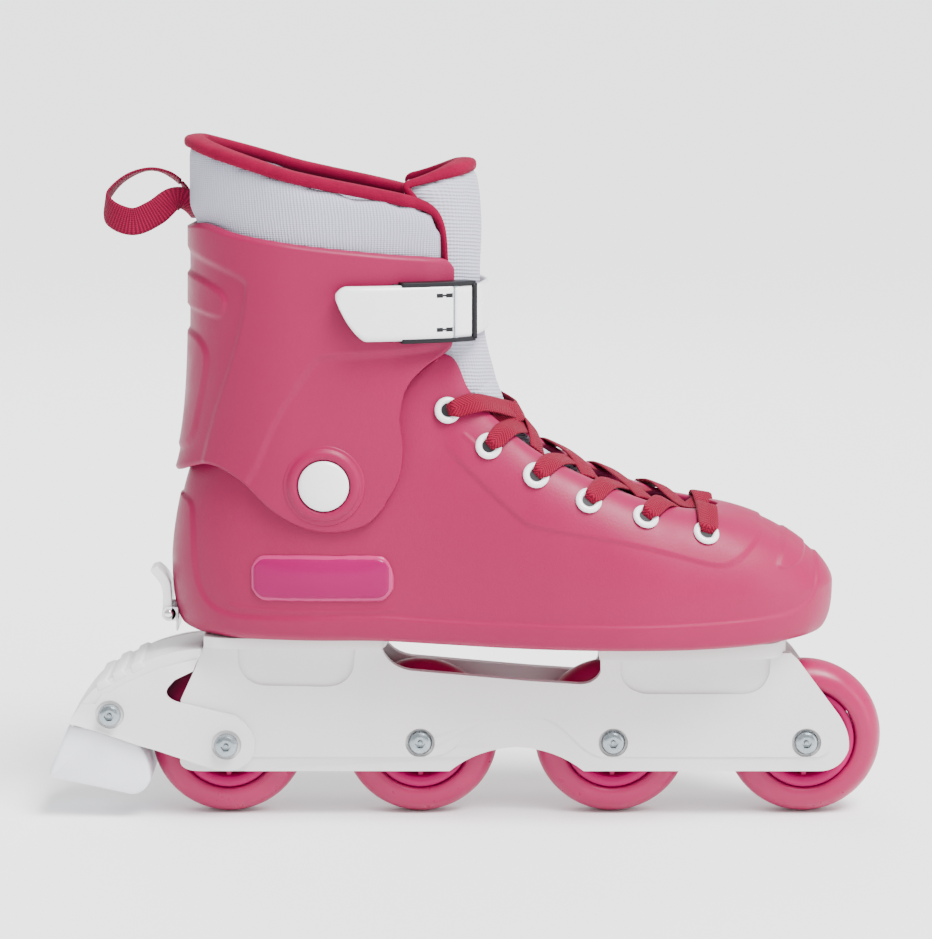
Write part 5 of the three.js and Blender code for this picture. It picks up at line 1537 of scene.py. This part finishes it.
HEEL_PANEL = [(-128, HEEL_LOW - 1.5), (-128, 74), (-126, 64, -116, 63), (-88, 62.5), (-78, 62.5, -75, 71),
              (-74, HEEL_LOW - 1.5)]
FRONT_PANEL = [(47.5, FRONT_LOW - 1.5), (47.5, 68), (50, 60, 60, 59), (105, 59), (114, 60, 116, 69),
               (116.5, FRONT_LOW - 1.5)]
SKIRT_BAND = [(-160, FRAME_LOW - 5), (-160, 29.4), (-40, 29.4), (-31, 30.5, -27, 35.5),
              (-20, 45.5, -13, 47.4), (13, 47.4), (19, 46, 26, 38), (34, 29.6, 40, 29.4), (139, 29.4),
              (146, 31, 147.5, 40),
              (149, 46, 153, 47), (175, 47), (175, FRAME_LOW - 5)]


def plan_plate(name, points, z0, z1, finish, width):
    """A plate seen from above, with round corners, between two heights."""
    outline = rounded(np.vstack([points, points[:1]]), 3)[:-1]
    outline = outline[np.linalg.norm(outline - np.roll(outline, 1, axis=0), axis=1) > 1e-3]
    n = len(outline)
    low = np.column_stack([outline, np.full(n, z0)])
    high = np.column_stack([outline, np.full(n, z1)])
    faces = [list(range(n))[::-1], list(range(n, 2 * n))]
    faces += [[i, (i + 1) % n, n + (i + 1) % n, n + i] for i in range(n)]
    piece = outward(make(name, np.vstack([low, high]), faces, finish, "boot", "frame_plastic"))
    return by_angle(bevel(piece, width, 3), 50)


def wheel_frame():
    """Two moulded walls with panels, the plates that meet the boot, and a boss at each axle."""
    parts = []
    for side, word in ((-1, "outer"), (1, "inner")):
        y0, y1 = layer(side, FRAME_IN, FRAME_OUT)
        skin = layer(side, FRAME_OUT - PANEL_DEEP, FRAME_OUT + CLEAR)
        thin = layer(side, FRAME_OUT - BAND_DEEP, FRAME_OUT + CLEAR)
        deep = layer(side, FRAME_OUT - BOLT_DEEP, FRAME_OUT + CLEAR)
        tools = [slab("panel", curve_outline(HEEL_PANEL), *skin, BLACK, "boot", "steel"),
                 slab("panel", curve_outline(FRONT_PANEL), *skin, BLACK, "boot", "steel"),
                 slab("band", curve_outline(SKIRT_BAND), *thin, BLACK, "boot", "steel")]
        for number in range(1, 5):
            tools.append(drill(6.8, axle_x(number), AXLE_Z, *deep))
            tools.append(drill(AXLE_HOLE, axle_x(number), AXLE_Z, y0 - CLEAR, y1 + CLEAR))
        parts.append(bar(f"wall_{word}", frame_outline(), y0, y1, SATIN_WHITE, "boot", "frame_plastic", 0.6,
                         2, tools))
        for number in range(1, 5):
            b0, b1 = layer(side, WHEEL_HALF + GAP, FRAME_IN + 0.5)
            profile = [(AXLE_HOLE, b0), (6.3, b0), (6.3, b1), (AXLE_HOLE, b1)]
            parts.append(turned(f"boss_{word}_{number}", profile, axle_x(number), AXLE_Z, SATIN_WHITE,
                                "boot", "frame_plastic", 40))
    heel = [(REAR - 9.7, -24), (REAR - 2, -29), (-66, -29), (-59, -26), (-59, 26), (-66, 29), (REAR - 2, 29),
            (REAR - 9.7, 24)]
    toe = [(37.5, -28), (44, -31), (104, -31), (124.5, -22), (124.5, 22), (104, 31), (44, 31), (37.5, 28)]
    parts.append(plan_plate("heel_plate", np.array(heel, float), HEEL_LOW, HEEL_TOP, SATIN_WHITE, 0.9))
    parts.append(plan_plate("toe_plate", np.array(toe, float), FRONT_LOW, FRONT_TOP, SATIN_WHITE, 0.9))
    return joined("wheel_frame", parts)


def bolt(name, x, z, head_y, side, head_r, shank_r, length, body):
    """A button-head screw along y: a domed head with a hexagonal socket and a pin in it."""
    profile = [(0.0, 4.0), (head_r * 0.62, 3.9), (head_r * 0.86, 3.3), (head_r, 1.9), (head_r, 0.35),
               (head_r - 0.3, 0), (shank_r, 0), (shank_r, -length), (0.0, -length)]
    piece = turned(name, [(r, head_y + side * y) for r, y in profile], x, z, STEEL, body, "steel", 48)
    hexagon = [(r, head_y + side * y) for r, y in ((0.001, 2.0), (2.3, 2.0), (2.3, 6), (0.001, 6))]
    cut(piece, [turned("socket", hexagon, x, z, STEEL, body, "steel", 6)])
    stub = [(r, head_y + side * y) for r, y in ((0.0, 3.0), (0.9, 2.9), (1.1, 2.2), (1.1, 1.9), (0.0, 1.9))]
    pin = turned("socket_pin", stub, x, z, STEEL, body, "steel", 16)
    return by_angle(joined(name, [by_angle(bevel(piece, 0.12, 2), 30), pin]), 40)


def nut(name, x, z, y, side, across, bore, tall, body):
    """A hexagonal nut on an axis along y."""
    piece = turned(name, [(bore, y), (across, y), (across, y + side * tall), (bore, y + side * tall)], x, z,
                   STEEL, body, "steel", 6)
    cut(piece, [drill(bore, x, z, y - 20, y + 20, 32)])
    return by_angle(bevel(piece, 0.3, 2), 30)


# ---- brake ------------------------------------------------------------------------------------
ARM_IN = FRAME_OUT + GAP
ARM_OUT = ARM_IN + 3.6
BRAKE_BOLT = (REAR - 53.3, 50.3)


def arm_outline():
    """Side view of the brake's arms."""
    top = [(-10.8, 81), (-20.6, 79.9), (-30, 77.6), (-36.5, 75.2), (-45, 71.2), (-53, 67), (-60, 62.4),
           (-66, 55.6), (-72.4, 46)]
    low = [(-59.7, 42.5), (-40.5, 35.7), (-32, 33.3), (-22.4, 30), (-5.3, 24.3)]
    top = spline(top, np.linspace(0, 1, 41))
    return curve_outline([(REAR + x, z) for x, z in top] + [(REAR + x, z) for x, z in low] + [
        (REAR + 6, 22, REAR + 11.5, 29.5), (REAR + 16, 38, REAR + 8, 46), (REAR + 4.2, 49.2),
        (REAR - 22, 55.4), (REAR - 30, 58, REAR - 26, 63.5), (REAR - 23.2, 66.5), (REAR - 14.8, 70.6)], 10)


def brake_arm():
    """The two arms of the brake, the skin that joins them over the wheel, and its three ribs."""
    parts = []
    for side, word in ((-1, "outer"), (1, "inner")):
        y0, y1 = layer(side, ARM_IN, ARM_OUT)
        tools = [drill(AXLE_HOLE, REAR, AXLE_Z, y0 - CLEAR, y1 + CLEAR),
                 drill(3.3, *BRAKE_BOLT, y0 - CLEAR, y1 + CLEAR)]
        face = layer(side, ARM_OUT - 0.7, ARM_OUT + CLEAR)
        ring = layer(side, ARM_OUT - 0.9, ARM_OUT + CLEAR)
        tools += [drill(6.9, REAR, AXLE_Z, *ring), drill(6.6, *BRAKE_BOLT, *ring)]
        upper = [(REAR - 2, 90), (REAR - 12, 76.5), (REAR - 30, 72), (REAR - 38, 68.5), (REAR - 47, 64.5),
                 (REAR - 53, 60.5), (REAR - 56.5, 60), (REAR - 60, 55), (REAR - 90, 55), (REAR - 90, 90)]
        tools.append(slab("band", upper, *face, BLACK, "boot", "steel"))
        parts.append(bar(f"arm_{word}", arm_outline(), y0, y1, SATIN_WHITE, "boot", "frame_plastic", 0.4,
                         2, tools))
    outer = spline([(-11.5, 80.9), (-20.6, 79.6), (-30, 77.4), (-36.5, 75.2), (-45, 71.2), (-53, 67),
                    (-60, 62.4), (-66, 55.6), (-72, 46.6)], np.linspace(0, 1, 40))
    inward = np.array([0.35, -0.94]) * 3.0
    skin = np.vstack([outer, (outer + inward)[::-1]]) + [REAR, 0]
    parts.append(bar("arm_skin", skin, -ARM_IN - 1, ARM_IN + 1, SATIN_WHITE, "boot", "frame_plastic", 0.3, 2))
    block = curve_outline([(-3.4, -2), (-2.6, 1.4), (-2.2, 1.9, -1.4, 1.9), (1.6, 1.6), (2.6, 1.4, 3, 0.4),
                           (3.4, -2)])
    turn = math.radians(30)
    spun = np.stack([block[:, 0] * math.cos(turn) - block[:, 1] * math.sin(turn),
                     block[:, 0] * math.sin(turn) + block[:, 1] * math.cos(turn)], axis=1)
    for x, z in ((-40.6, 72.7), (-49, 68.7), (-56.4, 64.2)):
        parts.append(bar(f"rib_{int(-x)}", spun + [REAR + x, z], -ARM_OUT + 0.4, ARM_OUT - 0.4, SATIN_WHITE,
                         "boot", "frame_plastic", 0.5, 3))
    return joined("brake_arm_shell", parts)


def brake_pad():
    """The rubber block of the brake, and the lug that holds it between the arms."""
    outline = curve_outline([
        (REAR - 72.6, 44.6), (REAR - 82, 22.5), (REAR - 82.4, 20, REAR - 80, 19.4), (REAR - 44, 11.5),
        (REAR - 38, 12, REAR - 35.5, 18), (REAR - 34.8, 27, REAR - 39.5, 33.6),
        (REAR - 40.8, 35.2), (REAR - 59.7, 42)])
    lug = curve_outline([(REAR - 67, 43), (REAR - 57.4, 58), (REAR - 52, 61.8), (REAR - 46.5, 60),
                         (REAR - 42, 37), (REAR - 60, 40)])
    parts = [bar("pad_block", outline, -19.5, 19.5, RUBBER, "boot", "brake_rubber", 2.8, 3),
             bar("pad_lug", lug, GAP - ARM_IN, ARM_IN - GAP, RUBBER, "boot", "brake_rubber", 0.6, 2)]
    return joined("brake_block", parts)


# ---- heel lever -------------------------------------------------------------------------------
HEEL_PIN = (HEEL_X - 2.1, 10.4)


def heel_lever():
    """The small lever at the heel, its pin with a ball end, and the ears that hold it."""
    shape = curve_outline([
        (-3.3, 0), (-3, 5.9), (-2.6, 9.4, -3.6, 12.6), (-5, 15.8, -8, 18.6), (-8.6, 20.6), (-5.4, 21.4),
        (-0.6, 18.4, 0.6, 13), (1, 8), (1.2, 0)], 10)
    x, z = HEEL_PIN
    blade = slab("lever_blade", shape + [x, z], -8, 8, GLOSS_WHITE, "heel_lever", "white_plastic", SOLE_Z)
    blade = by_angle(bevel(blade, 0.7, 4), 50)
    hub = turned("lever_hub", [(1.95, -8), (2.5, -8), (2.9, -7.6), (2.9, 7.6), (2.5, 8), (1.95, 8)], x, z,
                 GLOSS_WHITE, "heel_lever", "white_plastic", 48, SOLE_Z)
    ball = [(0.0, -11.2), (1.2, -11.0), (2.0, -10.4), (2.3, -9.6), (2.2, -8.7), (1.9, -8.4), (1.9, 10.4),
            (0.0, 10.4)]
    pin = turned("lever_ball", ball, x, z, CHROME, "boot", "chrome", 40, SOLE_Z)

    def block(name, outline, y0, y1):
        solid = slab(name, outline, y0, y1, GLOSS_WHITE, "boot", "white_plastic", SOLE_Z)
        return by_angle(bevel(solid, 0.3, 2))

    ears = []
    for side in (-1, 1):
        y0, y1 = layer(side, 8.3, 10)
        ears.append(turned("ear", [(1.95, y0), (3.3, y0), (3.3, y1), (1.95, y1)], x, z, GLOSS_WHITE, "boot",
                           "white_plastic", 40, SOLE_Z))
        web = [(x + 1, z - 3.2), (x + 4.2, z - 3.2), (x + 4.2, z + 3), (x + 1, z + 3)]
        ears.append(block("web", web, y0, y1))
    plate = [(x + 3.2, z - 8), (x + 4.1, z - 8), (x + 4.1, z + 1), (x + 3.2, z + 1)]
    ears.append(block("plate", plate, -10, 10))
    return joined("heel_lever_blade", [blade, hub]), pin, joined("heel_lever_seat", ears)


# ---- stage ------------------------------------------------------------------------------------
CAMERA_PLACE = (-0.00035, -1.510, 0.3957)
CAMERA_DROP = 8.85       # degrees that it looks down
CAMERA_LENS = 127.28
FLOOR_REACH = 40.0       # metres, so that the floor's edge stays out of view
LAMPS = (("key", (0.5, -1.2, 1.4), 0.5, 12), ("fill_right", (1.5, -0.8, 0.5), 0.8, 10),
         ("back", (-0.2, 1.5, 1.4), 1.2, 14))       # name, place, size and power
DAYLIGHT = Vector((-0.48, 0.46, -1.15))             # the way it shines


def stage():
    """Camera, floor, sky and lamps."""
    camera = bpy.data.objects.new("camera", bpy.data.cameras.new("camera"))
    bpy.context.scene.collection.objects.link(camera)
    camera.location = CAMERA_PLACE
    camera.rotation_euler = (math.radians(90 - CAMERA_DROP), 0, 0)
    camera.data.lens = CAMERA_LENS
    camera.data.sensor_width = 36
    camera.data.sensor_fit = "AUTO"
    bpy.context.scene.camera = camera
    pale = Finish("pale_floor", (0.93, 0.93, 0.93), 0.6).material
    mesh = bpy.data.meshes.new("floor")
    corners = [(x * FLOOR_REACH, y * FLOOR_REACH, 0) for x, y in ((-1, -1), (1, -1), (1, 1), (-1, 1))]
    mesh.from_pydata(corners, [], [(0, 1, 2, 3)])
    mesh.materials.append(pale)
    floor = bpy.data.objects.new("floor", mesh)
    bpy.context.scene.collection.objects.link(floor)
    world = bpy.data.worlds.new("studio")
    world.use_nodes = True
    world.node_tree.nodes["Background"].inputs["Color"].default_value = (0.97, 0.98, 1.0, 1)
    world.node_tree.nodes["Background"].inputs["Strength"].default_value = 1.1
    bpy.context.scene.world = world
    aim = Vector((0.0, 0.0, 0.14))
    for name, place, size, power in LAMPS:
        lamp = bpy.data.lights.new(name, "AREA")
        lamp.size = size
        lamp.energy = power
        light = bpy.data.objects.new(name, lamp)
        light.location = place
        light.rotation_euler = (aim - Vector(place)).to_track_quat("-Z", "Y").to_euler()
        bpy.context.scene.collection.objects.link(light)
    lamp = bpy.data.lights.new("daylight", "SUN")
    lamp.energy = 7.2
    lamp.angle = math.radians(28)
    light = bpy.data.objects.new("daylight", lamp)
    light.rotation_euler = DAYLIGHT.to_track_quat("-Z", "Y").to_euler()
    bpy.context.scene.collection.objects.link(light)


def carried(finish, *nodes):
    """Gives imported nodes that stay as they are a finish."""
    for node in nodes:
        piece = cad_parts[node]
        piece.data.materials.clear()
        piece.data.materials.append(finish)


stage()
settle(shell(), "boot_shell")
settle(cuff(), "cuff")
settle(ankle_cap(-1, "lateral"), "ankle_cap_lateral")
settle(ankle_cap(1, "medial"), "ankle_cap_medial")
pads = [settle(collar(), "liner_collar"), settle(liner_foot(), "liner_foot")]
low_tongue, high_tongue = tongue()
pads += [settle(low_tongue, "tongue_foot"), high_tongue]
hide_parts("tongue_top")
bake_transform(high_tongue)
pads += [settle(collar_binding()), settle(tongue_binding())]
for side, word in ((-1, "lateral"), (1, "medial")):
    rings, hole_shades = eyelets(side, word)
    settle(rings, f"eyelet_row_{word}")
    settle(hole_shades)
settle(laces(), "lace")
settle(strap(), "strap")
lever, lever_marks = buckle_lever()
settle(lever, "buckle_lever")
settle(lever_marks)
tray, cover = buckle_base()
settle(tray, "buckle_base")
settle(cover)
settle(pull_loop(), "pull_loop")
badge_rim, badge_dome = badge()
settle(badge_rim)
settle(badge_dome, "badge")
wheels()
settle(wheel_frame(), "frame")
for number in range(1, 5):
    outside = (ARM_OUT if number == 4 else FRAME_OUT - BOLT_DEEP) + GAP
    settle(bolt(f"axle_screw_{number}", axle_x(number), AXLE_Z, -outside, -1, 5.5, 4.0, 2 * outside + 3,
                "boot"), f"axle_bolt_{number}")
    settle(nut(f"axle_hex_{number}", axle_x(number), AXLE_Z, outside, 1, 6.2, 4.5, 4.2, "boot"),
           f"axle_nut_{number}")
settle(brake_arm(), "brake_arm")
settle(brake_pad(), "brake_pad")
settle(bolt("brake_screw", *BRAKE_BOLT, -ARM_OUT - GAP, -1, 5.2, 3.0, 2 * ARM_OUT + 4.4, "boot"),
       "brake_bolt")
settle(nut("brake_hex", *BRAKE_BOLT, ARM_OUT + GAP, 1, 5.4, 3.5, 4.5, "boot"), "brake_nut")
blade, ball, bracket = heel_lever()
settle(blade, "heel_lever")
settle(ball, "heel_lever_pin")
settle(bracket, "heel_lever_bracket")
carried(FOAM, "insole")
carried(STEEL, "ankle_pin_lateral", "ankle_pin_medial", "frame_bolt_heel", "frame_bolt_front", "buckle_pin",
        "strap_screw", "spacer_1", "spacer_2", "spacer_3", "spacer_4")
